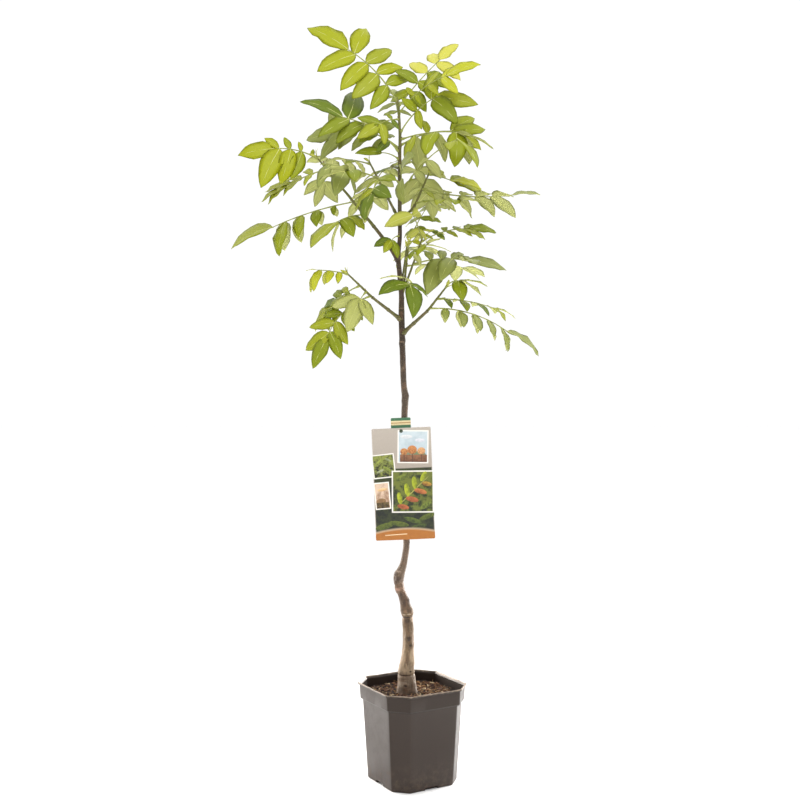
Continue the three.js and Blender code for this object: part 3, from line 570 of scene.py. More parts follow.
class Wiring:
    """Adds nodes to a tree and joins them: a value that is a socket is linked, any other is set."""

    def __init__(self, tree):
        self.tree = tree

    def put(self, socket, value):
        if isinstance(value, bpy.types.NodeSocket):
            self.tree.links.new(value, socket)
        else:
            socket.default_value = value

    def add(self, kind, settings=None, **values):
        node = self.tree.nodes.new(kind)
        for name, value in (settings or {}).items():
            setattr(node, name, value)
        for name, value in values.items():
            self.put(node.inputs[name.replace("_", " ")], value)
        return node

    def math(self, operation, *values, clamp=False):
        node = self.tree.nodes.new("ShaderNodeMath")
        node.operation = operation
        node.use_clamp = clamp
        for socket, value in zip(node.inputs, values):
            self.put(socket, value)
        return node.outputs[0]

    def plus(self, one, other, clamp=False):
        return self.math("ADD", one, other, clamp=clamp)

    def minus(self, one, other, clamp=False):
        return self.math("SUBTRACT", one, other, clamp=clamp)

    def times(self, one, other):
        return self.math("MULTIPLY", one, other)

    def over(self, one, other):
        return self.math("DIVIDE", one, other)

    def mix(self, factor, one, other):
        node = self.tree.nodes.new("ShaderNodeMix")
        node.data_type = "RGBA"
        self.put(node.inputs[0], factor)
        self.put(node.inputs[6], one)
        self.put(node.inputs[7], other)
        return node.outputs[2]

    def ramp(self, factor, *stops):
        node = self.tree.nodes.new("ShaderNodeValToRGB")
        for place, colour in stops[2:]:
            node.color_ramp.elements.new(place)
        for element, (place, colour) in zip(node.color_ramp.elements, stops):
            element.position = place
            element.color = colour
        self.put(node.inputs[0], factor)
        return node.outputs[0]

    def mask(self, value, low, high):
        """0 below low and 1 above high, with a smooth step between them."""
        node = self.add("ShaderNodeMapRange", dict(interpolation_type="SMOOTHSTEP"), Value=value,
                        From_Min=low, From_Max=high)
        return node.outputs[0]

    def object_place(self, scale=(1, 1, 1)):
        """The place on the tree, stretched by a scale."""
        place = self.tree.nodes.new("ShaderNodeTexCoord").outputs["Object"]
        return self.add("ShaderNodeMapping", Vector=place, Scale=scale).outputs[0]

    def noise(self, vector, scale, detail=3.0, rough=0.5):
        node = self.add("ShaderNodeTexNoise", Vector=vector, Scale=scale, Detail=detail, Roughness=rough)
        return node.outputs[0]


def new_effect(name, inputs, outputs):
    """A shader node group with named inputs and outputs, and the wiring of its inside."""
    group = bpy.data.node_groups.new(name, "ShaderNodeTree")
    for label, value in inputs.items():
        kind = "NodeSocketFloat" if isinstance(value, (int, float)) else "NodeSocketColor"
        group.interface.new_socket(label, in_out="INPUT", socket_type=kind).default_value = value
    for label in outputs:
        kind = "NodeSocketColor" if label == "Colour" else "NodeSocketFloat"
        group.interface.new_socket(label, in_out="OUTPUT", socket_type=kind)
    wiring = Wiring(group)
    wiring.inputs = group.nodes.new("NodeGroupInput").outputs
    wiring.outputs = group.nodes.new("NodeGroupOutput").inputs
    return group, wiring


def make_vein_relief():
    """Side veins that leave the midrib in pairs, and the puckered blade between them."""
    group, w = new_effect("vein_relief", dict(Pairs=9.0, Forward=0.3, Pucker=0.5), ["Height"])
    place = w.add("ShaderNodeUVMap", dict(uv_map="blade")).outputs[0]
    split = w.add("ShaderNodeSeparateXYZ", Vector=place)
    out = w.math("ABSOLUTE", w.math("MULTIPLY_ADD", split.outputs[0], 2.0, -1.0))
    forward = w.times(w.math("POWER", out, 0.8), w.inputs["Forward"])
    along = w.times(w.minus(split.outputs[1], forward), w.inputs["Pairs"])
    off = w.math("ABSOLUTE", w.minus(w.math("FRACT", along), 0.5))
    vein = w.mask(off, 0.5, 0.4)
    pillow = w.minus(1.0, w.math("POWER", w.times(off, 2.0), 2.0))
    pucker = w.times(pillow, w.inputs["Pucker"])
    w.put(w.outputs["Height"], w.plus(vein, pucker))
    return group


def make_bark_skin():
    """Young bark: streaks along the limb, rusty and pale patches, dark cracks and corky dots."""
    inputs = dict(Base=(0.2, 0.15, 0.1, 1), Patch=(0.3, 0.2, 0.1, 1), Pale=(0.4, 0.35, 0.3, 1),
                  Crack=(0.03, 0.02, 0.02, 1), Patches=0.5, Cracks=0.5, Dots=0.5)
    group, w = new_effect("bark_skin", inputs, ["Colour", "Height", "Roughness"])
    streak = w.noise(w.object_place((1, 1, 0.12)), 420.0, 4.0, 0.6)
    patch = w.mask(w.noise(w.object_place((1, 1, 0.6)), 95.0, 3.0, 0.55), 0.5, 0.66)
    pale = w.mask(w.noise(w.object_place((1.3, 1.3, 0.5)), 60.0, 4.0, 0.6), 0.52, 0.72)
    crack = w.mask(w.noise(w.object_place((1, 1, 1.6)), 260.0, 5.0, 0.7), 0.56, 0.7)
    squat = w.object_place((1, 1, 2.4))
    cell = w.add("ShaderNodeTexVoronoi", dict(feature="F1"), Vector=squat, Scale=190.0)
    dot = w.mask(cell.outputs["Distance"], 0.24, 0.14)
    colour = w.mix(w.times(patch, w.inputs["Patches"]), w.inputs["Base"], w.inputs["Patch"])
    colour = w.mix(w.times(pale, w.inputs["Patches"]), colour, w.inputs["Pale"])
    colour = w.mix(w.mask(streak, 0.35, 0.75), colour, w.mix(0.55, colour, w.inputs["Crack"]))
    colour = w.mix(w.times(crack, w.inputs["Cracks"]), colour, w.inputs["Crack"])
    colour = w.mix(w.times(dot, w.inputs["Dots"]), colour, w.inputs["Pale"])
    height = w.plus(w.times(streak, 0.6), w.times(crack, -0.7))
    w.put(w.outputs["Colour"], colour)
    w.put(w.outputs["Height"], w.plus(height, w.times(dot, 0.5)))
    w.put(w.outputs["Roughness"], w.math("MULTIPLY_ADD", crack, 0.2, 0.62))
    return group


def make_bark_mark():
    """A ragged patch of another colour round one place on the bark, over the colour under it. It lays the
    stains, and also painted shade and painted highlights.
    """
    inputs = dict(Under=(0.2, 0.15, 0.1, 1), Tone=(0.1, 0.08, 0.05, 1), Right=0.0, Back=0.0, Up=0.0,
                  Wide=0.005, Tall=0.005, Amount=1.0)
    group, w = new_effect("bark_mark", inputs, ["Colour"])
    split = w.add("ShaderNodeSeparateXYZ", Vector=w.object_place()).outputs
    away = 0.0
    for axis, middle, size in zip(split, ("Right", "Back", "Up"), ("Wide", "Wide", "Tall")):
        off = w.over(w.minus(axis, w.inputs[middle]), w.inputs[size])
        away = w.math("MULTIPLY_ADD", off, off, away)
    grain = w.noise(w.object_place(), 380.0, 4.0, 0.65)
    ragged = w.times(w.minus(grain, 0.5), 1.5)
    stained = w.mask(w.plus(w.math("SQRT", away), ragged), 1.15, 0.55)
    amount = w.times(stained, w.inputs["Amount"])
    w.put(w.outputs["Colour"], w.mix(amount, w.inputs["Under"], w.inputs["Tone"]))
    return group


VEIN_RELIEF = make_vein_relief()
BARK_SKIN = make_bark_skin()
BARK_MARK = make_bark_mark()


def new_finish(name, base, roughness, **constants):
    """A material whose shader has these constants, with its wiring and its shader."""
    material = bpy.data.materials.new(name)
    material.use_nodes = True
    shader = material.node_tree.nodes["Principled BSDF"]
    shader.inputs["Base Color"].default_value = base
    shader.inputs["Roughness"].default_value = roughness
    for label, value in constants.items():
        shader.inputs[label.replace("_", " ")].default_value = value
    material.diffuse_color = base
    return material, Wiring(material.node_tree), shader


def effect(wiring, group, **values):
    """One of the node groups above, placed with its own values."""
    return wiring.add("ShaderNodeGroup", dict(node_tree=group), **values).outputs


def bump(wiring, shader, height, distance, strength=1.0):
    node = wiring.add("ShaderNodeBump", Height=height, Distance=distance, Strength=strength)
    wiring.put(shader.inputs["Normal"], node.outputs[0])


def leaf_finish(name, tone, roughness, relief):
    """A plain leaf colour with the relief of its veins."""
    material, w, shader = new_finish(name, shade(*tone), roughness, Specular_IOR_Level=0.28)
    bump(w, shader, effect(w, VEIN_RELIEF, Pairs=9.0)["Height"], relief, 0.5)
    return material


def plain_finish(name, base, roughness):
    return new_finish(name, base, roughness)[0]


def bark_finish(name, tones, patches, cracks, dots, relief, marks=()):
    """Bark whose colour changes with height, as tones of (height, colour), with marks laid over it."""
    material, w, shader = new_finish(name, shade(*tones[0][1]), 0.7)
    low, high = tones[0][0], tones[-1][0]
    height = w.add("ShaderNodeSeparateXYZ", Vector=w.object_place()).outputs[2]
    uneven = w.minus(w.noise(w.object_place((1, 1, 0.4)), 55.0, 2.0), 0.5)
    height = w.plus(height, w.times(uneven, 0.024))
    level = w.add("ShaderNodeMapRange", Value=height, From_Min=low * MM, From_Max=high * MM).outputs[0]
    base = w.ramp(level, *[((at - low) / (high - low), shade(*tone)) for at, tone in tones])
    skin = effect(w, BARK_SKIN, Base=base, Patch=shade(142, 102, 74), Pale=shade(178, 162, 140),
                  Crack=shade(52, 38, 30), Patches=patches, Cracks=cracks, Dots=dots)
    colour = skin["Colour"]
    for place, wide, tall, tone, amount in marks:
        right, back, up = place * MM
        marked = effect(w, BARK_MARK, Under=colour, Tone=shade(*tone), Right=right, Back=back, Up=up,
                        Wide=wide * MM, Tall=tall * MM, Amount=amount)
        colour = marked["Colour"]
    w.put(shader.inputs["Base Color"], colour)
    w.put(shader.inputs["Roughness"], skin["Roughness"])
    bump(w, shader, skin["Height"], relief)
    return material


LEAF_SHADES = dict(
    gold=(226, 186, 30), young=(186, 189, 42), straw=(206, 203, 82), pale=(176, 180, 100),
    bright=(160, 166, 8), lime=(144, 154, 14), fresh=(154, 161, 30), mid=(130, 142, 20),
    deep=(102, 120, 18), grey=(146, 154, 78),
)
UNDERSIDE_SHADES = dict(under=(182, 186, 112), under_young=(194, 196, 88))
TINTS = {name: leaf_finish("leaf_" + name, tone, 0.46, 0.00009) for name, tone in LEAF_SHADES.items()}
for name, tone in UNDERSIDE_SHADES.items():
    TINTS[name] = leaf_finish("leaf_" + name, tone, 0.6, 0.0001)
TINT_ORDER = ("young", "bright", "lime", "fresh", "mid", "deep")

RIB = plain_finish("leaf_rib", shade(212, 214, 132), 0.5)
GREEN_STALK = plain_finish("green_stalk", shade(150, 156, 74), 0.5)
YOUNG_WOOD = plain_finish("young_wood", shade(104, 104, 48), 0.6)
BUD_SCALE = plain_finish("bud_scale", shade(128, 106, 70), 0.6)
# The boughs' bark by height: old green wood low down, brown in the middle, young green wood on top.
BOUGH_TONES = [
    (870, (102, 100, 56)),
    (985, (106, 102, 58)),
    (1004, (74, 58, 46)),
    (1046, (80, 64, 46)),
    (1090, (98, 98, 46)),
    (1150, (104, 108, 52)),
]
BOUGH_BARK = bark_finish("bough_bark", BOUGH_TONES, 0.2, 0.3, 0.5, 0.0003)


# ---------------------------------------------------------------- meshes


class Joined:
    """Many small closed shapes gathered in arrays and made into one mesh, each with its own finish."""

    def __init__(self, *finishes):
        self.finishes = list(finishes)
        self.points, self.marks, self.faces, self.slots, self.count = [], [], [], [], 0

    def add(self, points, faces, finish, marks=None):
        """finish is one material, or one for each face."""
        points = np.asarray(points, float)
        self.points.append(points)
        self.marks.append(np.zeros((len(points), 2)) if marks is None else marks)
        self.faces += [tuple(int(i) + self.count for i in face) for face in faces]
        each = finish if isinstance(finish, list) else [finish] * len(faces)
        for material in each:
            if material not in self.finishes:
                self.finishes.append(material)
        self.slots += [self.finishes.index(material) for material in each]
        self.count += len(points)

    def make(self, name, slot, *nodes):
        mesh = bpy.data.meshes.new(name)
        mesh.from_pydata((np.concatenate(self.points) * MM).tolist(), [], self.faces)
        for material in self.finishes:
            mesh.materials.append(material)
        mesh.polygons.foreach_set("material_index", self.slots)
        mesh.polygons.foreach_set("use_smooth", [True] * len(self.faces))
        corners = np.empty(len(mesh.loops), np.int32)
        mesh.loops.foreach_get("vertex_index", corners)
        blade = mesh.uv_layers.new(name="blade")
        blade.data.foreach_set("uv", np.concatenate(self.marks)[corners].ravel())
        mesh.update()
        return show(mesh, slot, *nodes)


def new_object(name, data):
    """An object of this mesh, lamp or camera, put into the scene."""
    made = bpy.data.objects.new(name, data)
    bpy.context.scene.collection.objects.link(made)
    return made


def mesh_of(bm, name):
    """The finished mesh, its working copy freed."""
    mesh = bpy.data.meshes.new(name)
    bm.to_mesh(mesh)
    bm.free()
    return mesh


def show(mesh, slot, *nodes):
    """The mesh as a piece of the tree, standing for these CAD nodes."""
    piece = new_object(mesh.name, mesh)
    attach(piece, "root")
    if nodes:
        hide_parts(*nodes)
    return piece


def rows_and_caps(rows, sides):
    """Faces round a tube of rows of corners, each end drawn together in a pole. The poles come last."""
    faces = []
    for r in range(rows - 1):
        for i in range(sides):
            j = (i + 1) % sides
            faces.append((r * sides + i, r * sides + j, (r + 1) * sides + j, (r + 1) * sides + i))
    foot, tip, last = rows * sides, rows * sides + 1, (rows - 1) * sides
    for i in range(sides):
        j = (i + 1) % sides
        faces.append((j, i, foot))
        faces.append((last + i, last + j, tip))
    return faces


def smooth_path(points, count):
    """A rounded line through the points, with this many places evenly along it."""
    points = [2 * points[0] - points[1], *points, 2 * points[-1] - points[-2]]
    places = []
    for k in range(count):
        at = (len(points) - 3) * k / (count - 1)
        step = min(int(at), len(points) - 4)
        t = at - step
        a, b, c, d = points[step:step + 4]
        curve = (2 * a - 5 * b + 4 * c - d) * t**2 + (3 * b - a - 3 * c + d) * t**3
        places.append(0.5 * (2 * b + (c - a) * t + curve))
    return np.array(places)


def tube(line, radii, sides, swell=None):
    """Corners and faces of a closed tube along a line, its rings carried on without a twist."""
    ahead = np.gradient(line, axis=0)
    ahead /= np.linalg.norm(ahead, axis=1)[:, None]
    out = square_to(UP if abs(ahead[0][2]) < 0.9 else np.array((1.0, 0.0, 0.0)), ahead[0])
    corners = []
    turns = np.arange(sides) * 2 * math.pi / sides
    for r, (point, way) in enumerate(zip(line, ahead)):
        out = square_to(out, way)
        side = np.cross(way, out)
        ring = np.full(sides, float(radii[r])) if swell is None else radii[r] * swell(r, turns)
        spokes = np.cos(turns)[:, None] * out + np.sin(turns)[:, None] * side
        corners.append(point + spokes * ring[:, None])
    ends = [line[0] - ahead[0] * radii[0] * 0.25, line[-1] + ahead[-1] * radii[-1] * 0.6]
    return np.concatenate([*corners, ends]), rows_and_caps(len(line), sides)


# ---------------------------------------------------------------- leaves

# Down a blade: how far along it each row of corners is, and how much of the half width it has.
BLADE_ROWS = (0.05, 0.16, 0.31, 0.47, 0.63, 0.78, 0.91)
BLADE_WIDE = (0.4, 0.8, 1.0, 1.02, 0.9, 0.66, 0.33)
BLADE_ACROSS = (-1.0, -0.5, 0.0, 0.5, 1.0)
BLADE = dict(curl=0.1, wave=0.02, thick=0.007, rib=0.011)

# A leaf's stalk: its radii at foot and tip, the swelling at its foot and at each pair of leaflets, and
# the leaflet's length at which these sizes hold in full.
STALK_SKIN = dict(rings=19, sides=6, foot=1.55, tip=0.85, swelling=1.5, joint=0.45, full_leaflet=70)
SHOOT_SKIN = dict(rings=26, sides=9)
LEAF_BUD = 1.5
SHOOT_BUD = 2.1
TUFT = dict(leaflets=4, long=16, slim=0.34)

YELLOWED = np.array((-83.0, 20.0, 1128.0))  # the leaflet nearest here has gone yellow


def blade_faces():
    """A blade's faces, those above and those below. Each row has five corners above and three below,
    between the same margins, and one corner each closes root and tip."""
    above, below = [], []
    rows = len(BLADE_ROWS)
    top = [[r * 8 + i for i in range(5)] for r in range(rows)]
    under = [[r * 8, r * 8 + 5, r * 8 + 6, r * 8 + 7, r * 8 + 4] for r in range(rows)]
    root, tip = rows * 8, rows * 8 + 1
    for i in range(4):
        for r in range(rows - 1):
            above.append((top[r][i], top[r][i + 1], top[r + 1][i + 1], top[r + 1][i]))
            below.append((under[r][i], under[r + 1][i], under[r + 1][i + 1], under[r][i + 1]))
        above += [(root, top[0][i + 1], top[0][i]), (top[-1][i], top[-1][i + 1], tip)]
        below += [(root, under[0][i], under[0][i + 1]), (under[-1][i + 1], under[-1][i], tip)]
    return above, below


BLADE_ABOVE, BLADE_BELOW = blade_faces()


def add_blade(joined, leaflet, tint, under, chance):
    """A leaflet's blade, folded along its midrib, bowed, curled at the tip and wavy at the margins."""
    length, width = leaflet["length"], leaflet["width"]
    curl = BLADE["curl"] * chance.uniform(-0.1, 1.0)
    fold = LEAFLET["fold"] * chance.uniform(0.4, 1.7)
    sway = chance.uniform(-0.05, 0.05)
    wave = BLADE["wave"] * chance.uniform(0.5, 1.5)
    phase = chance.random(2)
    rolls = chance.uniform(1.8, 2.9)
    along = np.array(BLADE_ROWS)[:, None]
    wide = np.array(BLADE_WIDE)[:, None] * (1 + 0.05 * np.sin(9 * along + 6 * phase[0]))
    across = np.array(BLADE_ACROSS)[None, :]
    hand = phase[np.where(across > 0, 1, 0)]
    ripple = wave * length * np.abs(across) ** 2 * np.sin(2 * math.pi * (rolls * along + hand))
    lift = 4 * LEAFLET["arch"] * length * along * (1 - along) - curl * length * along**3
    rise = lift + fold * np.abs(across) * wide * width / 2 * (1.35 - 0.6 * np.abs(across)) + ripple
    bow = sway * length * np.sin(math.pi * along)
    place_out = across * wide * width / 2 + bow
    top = np.stack([np.broadcast_to(along * length, rise.shape), place_out, rise], 2)
    inner = top[:, 1:4] - (0, 0, BLADE["thick"] * length)
    rows = np.concatenate([top, inner], 1).reshape(-1, 3)
    ends = np.array([(0, 0, 0), (length, 0, -curl * length)])
    local = np.concatenate([rows, ends])
    axes = np.array((leaflet["along"], leaflet["side"], leaflet["normal"]))
    marks = np.stack([np.broadcast_to((across + 1) / 2, rise.shape), np.broadcast_to(along, rise.shape)], 2)
    marks = np.concatenate([marks, marks[:, 1:4]], 1).reshape(-1, 2)
    marks = np.concatenate([marks, [(0.5, 0), (0.5, 1)]])
    finish = [tint] * len(BLADE_ABOVE) + [under] * len(BLADE_BELOW)
    joined.add(leaflet["root"] + local @ axes, BLADE_ABOVE + BLADE_BELOW, finish, marks)
    add_rib(joined, leaflet, axes, along[:, 0], lift[:, 0], bow[:, 0], curl)


def add_rib(joined, leaflet, axes, along, lift, bow, curl):
    """The midrib, a little swollen where it leaves the stalk, standing proud of both faces."""
    length = leaflet["length"]
    take = [0, 2, 4, 5]
    middle = np.stack([along[take] * length, bow[take], lift[take]], 1)
    middle = np.concatenate([[(0, 0, 0)], middle, [(0.96 * length, 0, -curl * length * 0.88)]])
    size = BLADE["rib"] * length * np.array((1.5, 1.1, 0.9, 0.7, 0.5, 0.16))
    corners = []
    for point, r in zip(middle, size):
        low = point - (0, 0, BLADE["thick"] * length * 0.5)
        corners += [low + (0, r, 0), low + (0, 0, r * 1.15), low - (0, r, 0), low - (0, 0, r * 1.3)]
    corners += [middle[0] - (size[0] * 0.6, 0, 0), middle[-1] + (size[-1], 0, 0)]
    joined.add(leaflet["root"] + np.array(corners) @ axes, rows_and_caps(len(middle), 4), RIB)


def neighbour(tint, chance):
    """Now and then a leaflet is a shade lighter or darker than its spray."""
    if tint not in TINT_ORDER or chance.random() < 0.62:
        return tint
    at = TINT_ORDER.index(tint) + (1 if chance.random() < 0.5 else -1)
    return TINT_ORDER[min(max(at, 0), len(TINT_ORDER) - 1)]


def add_stalk(joined, leaf, limb_radius):
    """A leaf's stalk from inside its limb: a swollen foot, an even taper, a slight joint at each pair."""
    skin, sizes = STALK_SKIN, leaf["sizes"]
    line = smooth_path(leaf["stalk"], skin["rings"])
    fine = sizes["leaflet"] / skin["full_leaflet"]
    radii = np.linspace(skin["foot"], skin["tip"], skin["rings"]) * (0.6 + 0.4 * fine)
    reach = np.linalg.norm(line - line[0], axis=1)
    foot = np.exp(-((reach - limb_radius - 1.5) / 4.5) ** 2)
    radii += skin["swelling"] * foot * (0.5 + 0.5 * fine)
    for pair in range(sizes["pairs"]):
        up = pair / max(sizes["pairs"] - 1, 1)
        at = sizes["first"] + (sizes["last"] - sizes["first"]) * up
        radii += skin["joint"] * np.exp(-((np.linspace(0, 1, skin["rings"]) - at) / 0.03) ** 2)
    joined.add(*tube(line, radii, skin["sides"]), GREEN_STALK)


def add_bud(joined, point, way, size, finish):
    """A plump bud: a short closed spindle that leans along its limb."""
    share = np.array((0.0, 0.18, 0.42, 0.68, 0.9))
    line = point + way * (share * size * 2.1)[:, None]
    radii = size * np.array((0.55, 0.9, 1.0, 0.72, 0.3))
    joined.add(*tube(line, radii, 8), finish)


def add_tuft(joined, point, way, chance):
    """A small bunch of leaflets still unfolding round a shoot's tip."""
    count = TUFT["leaflets"]
    for k in range(count):
        round_tip = heading(360 * k / count + chance.uniform(-20, 20), 12)
        out = turned(square_to(round_tip, way), way, 30 * k)
        along = unit(way + out * chance.uniform(0.35, 0.8))
        normal = square_to(way - out * 0.4, along)
        length = TUFT["long"] * chance.uniform(0.7, 1.2)
        leaflet = dict(root=point + out * 1.2, along=along, normal=normal, side=np.cross(along, normal),
                       length=length, width=length * TUFT["slim"])
        add_blade(joined, leaflet, TINTS["young"], TINTS["under_young"], chance)


def add_shoot(joined, shoot):
    """A mass's own shoot, with three shallow ridges that wind up it. Gives back its line and radii."""
    points, thick = shoot
    rings = SHOOT_SKIN["rings"]
    line = smooth_path(points, rings)
    radii = np.interp(np.linspace(0, 1, rings), np.linspace(0, 1, len(thick)), thick) / 2

    def ridges(ring, turns):
        return 1 + 0.07 * np.sin(3 * turns + ring * 1.3)

    joined.add(*tube(line, radii, SHOOT_SKIN["sides"], ridges), YOUNG_WOOD)
    return line, radii


def add_leaf_bud(joined, start, ahead, limb_radius):
    """The bud above a leaf's foot, against its limb."""
    out = square_to(ahead, UP) if abs(ahead[2]) < 0.95 else heading(0, 0)
    place = start + out * (limb_radius + LEAF_BUD * 0.2) + UP * (LEAF_BUD * 2.2)
    add_bud(joined, place, unit(UP + out * 0.55), LEAF_BUD, BUD_SCALE)


def make_mass(mass, yellow, chance):
    """A mass as two joined pieces: its blades with their midribs, and its stalks, shoot and buds."""
    name = mass["mass"]["name"]
    blades, stalks = Joined(), Joined()
    if mass["shoot"]:
        line, radii = add_shoot(stalks, mass["shoot"])
        tip = unit(line[-1] - line[-2])
        add_bud(stalks, line[-1] - tip * 1.5, tip, SHOOT_BUD, GREEN_STALK)
        add_tuft(blades, line[-1], tip, chance)
    for leaf in mass["leaves"]:
        if mass["shoot"]:
            limb_radius = float(np.interp(leaf["sizes"]["at"], np.linspace(0, 1, len(radii)), radii))
        else:
            limb_radius = trunk_radius(mass["mass"]["height"])
        start = leaf["stalk"][0]
        add_stalk(stalks, leaf, limb_radius)
        add_leaf_bud(stalks, start, unit(leaf["stalk"][1] - start), limb_radius)
        inner, _, outer = leaf["sizes"]["tint"].partition(" ")
        under = TINTS["under_young" if (outer or inner) in ("young", "bright") else "under"]
        for k, leaflet in enumerate(leaf["leaflets"]):
            part = outer if outer and 2 * k >= len(leaf["leaflets"]) else inner
            own = "gold" if leaflet is yellow else neighbour(part, chance)
            add_blade(blades, leaflet, TINTS[own], under, chance)
    blades.make(name + "_blades", "foliage", name)
    stalks.make(name + "_stalks", "twig", name)


def make_foliage():
    masses = grow_masses()
    leaflets = [leaflet for mass in masses for leaf in mass["leaves"] for leaflet in leaf["leaflets"]]
    yellow = min(leaflets, key=lambda leaflet: np.linalg.norm(leaflet["root"] - YELLOWED))
    chance = np.random.default_rng(2)
    for mass in masses:
        make_mass(mass, yellow, chance)


make_foliage()

# ---------------------------------------------------------------- limbs with bark

# Swellings of the trunk: height, the turn they face, how wide they are and how far they stand out.
TRUNK_SWELLINGS = [
    (399, 172, 8, 2.2), (391, 262, 7, 1.6), (373, 200, 7, 2.0), (371, 280, 5, 1.0), (349, 338, 4, 1.6),
    (331, 200, 9, 1.6), (327, 345, 9, 2.0), (322, 262, 6, 0.9), (281, 262, 5, 1.3), (268, 296, 6, 1.4),
    (233, 330, 9, 1.2), (214, 196, 12, 1.8), (215, 318, 8, 1.6), (186, 262, 7, 1.2), (466, 330, 5, 0.8),
    (752, 350, 5, 1.6), (742, 190, 6, 0.8), (856, 178, 5, 1.0), (861, 352, 5, 0.9), (706, 10, 4, 0.7),
]
# Where a leaf leaves the trunk there is a low swelling under its foot.
LEAF_FOOT = dict(wide=3.2, proud=0.9)
TRUNK_SWELLINGS += [
    (mass["height"], mass["leaves"][0]["turn"], LEAF_FOOT["wide"], LEAF_FOOT["proud"])
    for mass in MASSES if mass["on"] == "trunk" and "shoot" not in mass
]
# Creases round the trunk: height, how wide, how deep, and the turn on whose side they hang lowest.
TRUNK_CREASES = [
    (318, 2.2, 1.6, 262), (206.5, 1.9, 1.4, 250), (366, 1.6, 0.8, 240), (383, 1.6, 0.9, 220),
    (856, 1.2, 0.5, 0),
]
CREASE_SAG = 2.5
# Dark hollows where a side shoot died: height, turn, radius and depth.
TRUNK_SCARS = [
    (276, 272, 4.6, 1.5), (262, 292, 3.4, 0.9), (213, 296, 2.0, 1.2), (185, 262, 3.2, 0.9),
    (392, 226, 3.6, 0.8),
]
ROOT_FLARE = dict(level=169, fade=16)
# The bark's colour by height, from old wood at the soil to green wood at the top. The dark tone round 900
# mm, among the lowest boughs, is partly painted shade of the leaves above it.
TRUNK_TONES_AND_SHADE = [
    (168, (90, 70, 52)), (182, (96, 78, 60)), (194, (132, 112, 90)), (204, (104, 84, 64)),
    (212, (150, 128, 100)), (250, (152, 126, 94)), (264, (110, 88, 60)), (298, (114, 92, 64)),
    (310, (86, 65, 42)), (326, (118, 96, 68)), (344, (88, 69, 50)), (360, (88, 67, 50)),
    (370, (126, 100, 78)), (380, (110, 86, 66)), (390, (82, 60, 44)), (400, (110, 88, 68)),
    (414, (110, 91, 72)), (470, (100, 81, 64)), (640, (86, 70, 55)), (770, (80, 66, 50)),
    # the dark tone at 900 is partly painted shade of the leaves above it
    (820, (68, 53, 40)), (900, (54, 41, 28)), (960, (70, 54, 38)), (1060, (58, 46, 30)),
    (1140, (80, 70, 36)), (1220, (90, 88, 38)), (1290, (104, 106, 38)), (1340, (118, 126, 48)),
]
# Stains on the trunk, with painted shade and highlights among them: height, the turn they face, half width,
# half height, colour and strength.
TRUNK_STAINS_AND_PAINTED_LIGHT = [
    # the old knee and the bend under it
    (401, 190, 9, 5, (58, 42, 32), 0.8), (394, 262, 6, 5, (64, 46, 36), 0.7),
    (388, 232, 5, 7, (70, 52, 40), 0.6), (407, 240, 5, 2.5, (170, 148, 130), 0.6),
    (372, 236, 7, 3, (170, 132, 114), 0.8), (374, 286, 6, 2.4, (150, 118, 98), 0.6),
    (360, 250, 3, 9, (60, 44, 34), 0.6), (346, 272, 3.4, 10, (58, 42, 32), 0.6),
    (350, 330, 4, 4, (60, 46, 36), 0.6), (330, 214, 4, 5, (58, 42, 32), 0.6),
    # the graft and the stem under it
    (329, 252, 4.5, 3.4, (142, 110, 84), 0.6), (331, 300, 6, 4, (70, 52, 40), 0.6),
    # the dark band at 318 is painted shade in the graft's crease, and the pale marks at 323 and 324 a
    # painted highlight on its upper lip
    (318, 262, 10, 1.8, (50, 36, 26), 0.9), (324, 286, 5, 1.4, (176, 156, 132), 0.8),
    (323, 236, 4, 1.5, (180, 160, 136), 0.7), (311, 266, 5, 5, (56, 40, 28), 0.7),
    (313, 318, 4, 6, (182, 160, 134), 0.6), (312, 206, 3, 6, (160, 138, 112), 0.6),
    (298, 270, 3, 8, (66, 48, 34), 0.5), (277, 272, 4.6, 6.5, (50, 36, 26), 0.85),
    (264, 292, 3.2, 4, (52, 38, 28), 0.8), (286, 222, 4, 12, (150, 128, 104), 0.5),
    (262, 226, 4.4, 16, (166, 144, 118), 0.6), (236, 232, 4, 16, (172, 148, 120), 0.7),
    (240, 304, 3.4, 17, (176, 154, 126), 0.7), (238, 266, 2.6, 17, (88, 66, 48), 0.6),
    (248, 214, 3, 8, (182, 160, 136), 0.5), (216, 250, 7, 3.4, (162, 138, 112), 0.6),
    # the foot
    # the dark band at 206 is painted shade in the crease there
    (213, 298, 2.6, 2.4, (40, 29, 22), 0.95), (206, 256, 14, 1.7, (62, 45, 34), 0.9),
    (202, 300, 7, 3, (112, 92, 74), 0.5), (186, 262, 3.6, 3.4, (50, 37, 30), 0.85),
    (192, 250, 7, 1.6, (136, 116, 98), 0.6), (180, 276, 8, 1.4, (132, 110, 90), 0.5),
    (178, 230, 9, 5, (74, 56, 44), 0.5), (172, 300, 10, 4, (72, 56, 42), 0.5),
    # knots and rings further up
    (466, 330, 4, 5, (56, 40, 30), 0.7), (753, 348, 4, 4, (54, 40, 32), 0.7),
    (858, 262, 9, 1.6, (140, 118, 98), 0.6), (924, 262, 8, 1.6, (126, 104, 84), 0.6),
    (1000, 262, 8, 1.5, (110, 88, 68), 0.5),
]


def stains_and_painted_light():
    """Where the middle of each stain, painted shade and painted highlight lies on the trunk's surface."""
    for height, turn, wide, tall, tone, amount in TRUNK_STAINS_AND_PAINTED_LIGHT:
        place = trunk_at(height) + heading(turn, 0) * trunk_radius(height)
        yield place, wide, tall, tone, amount


TRUNK_BARK = bark_finish("trunk_bark", TRUNK_TONES_AND_SHADE, 0.28, 0.5, 0.35, 0.0006, stains_and_painted_light())


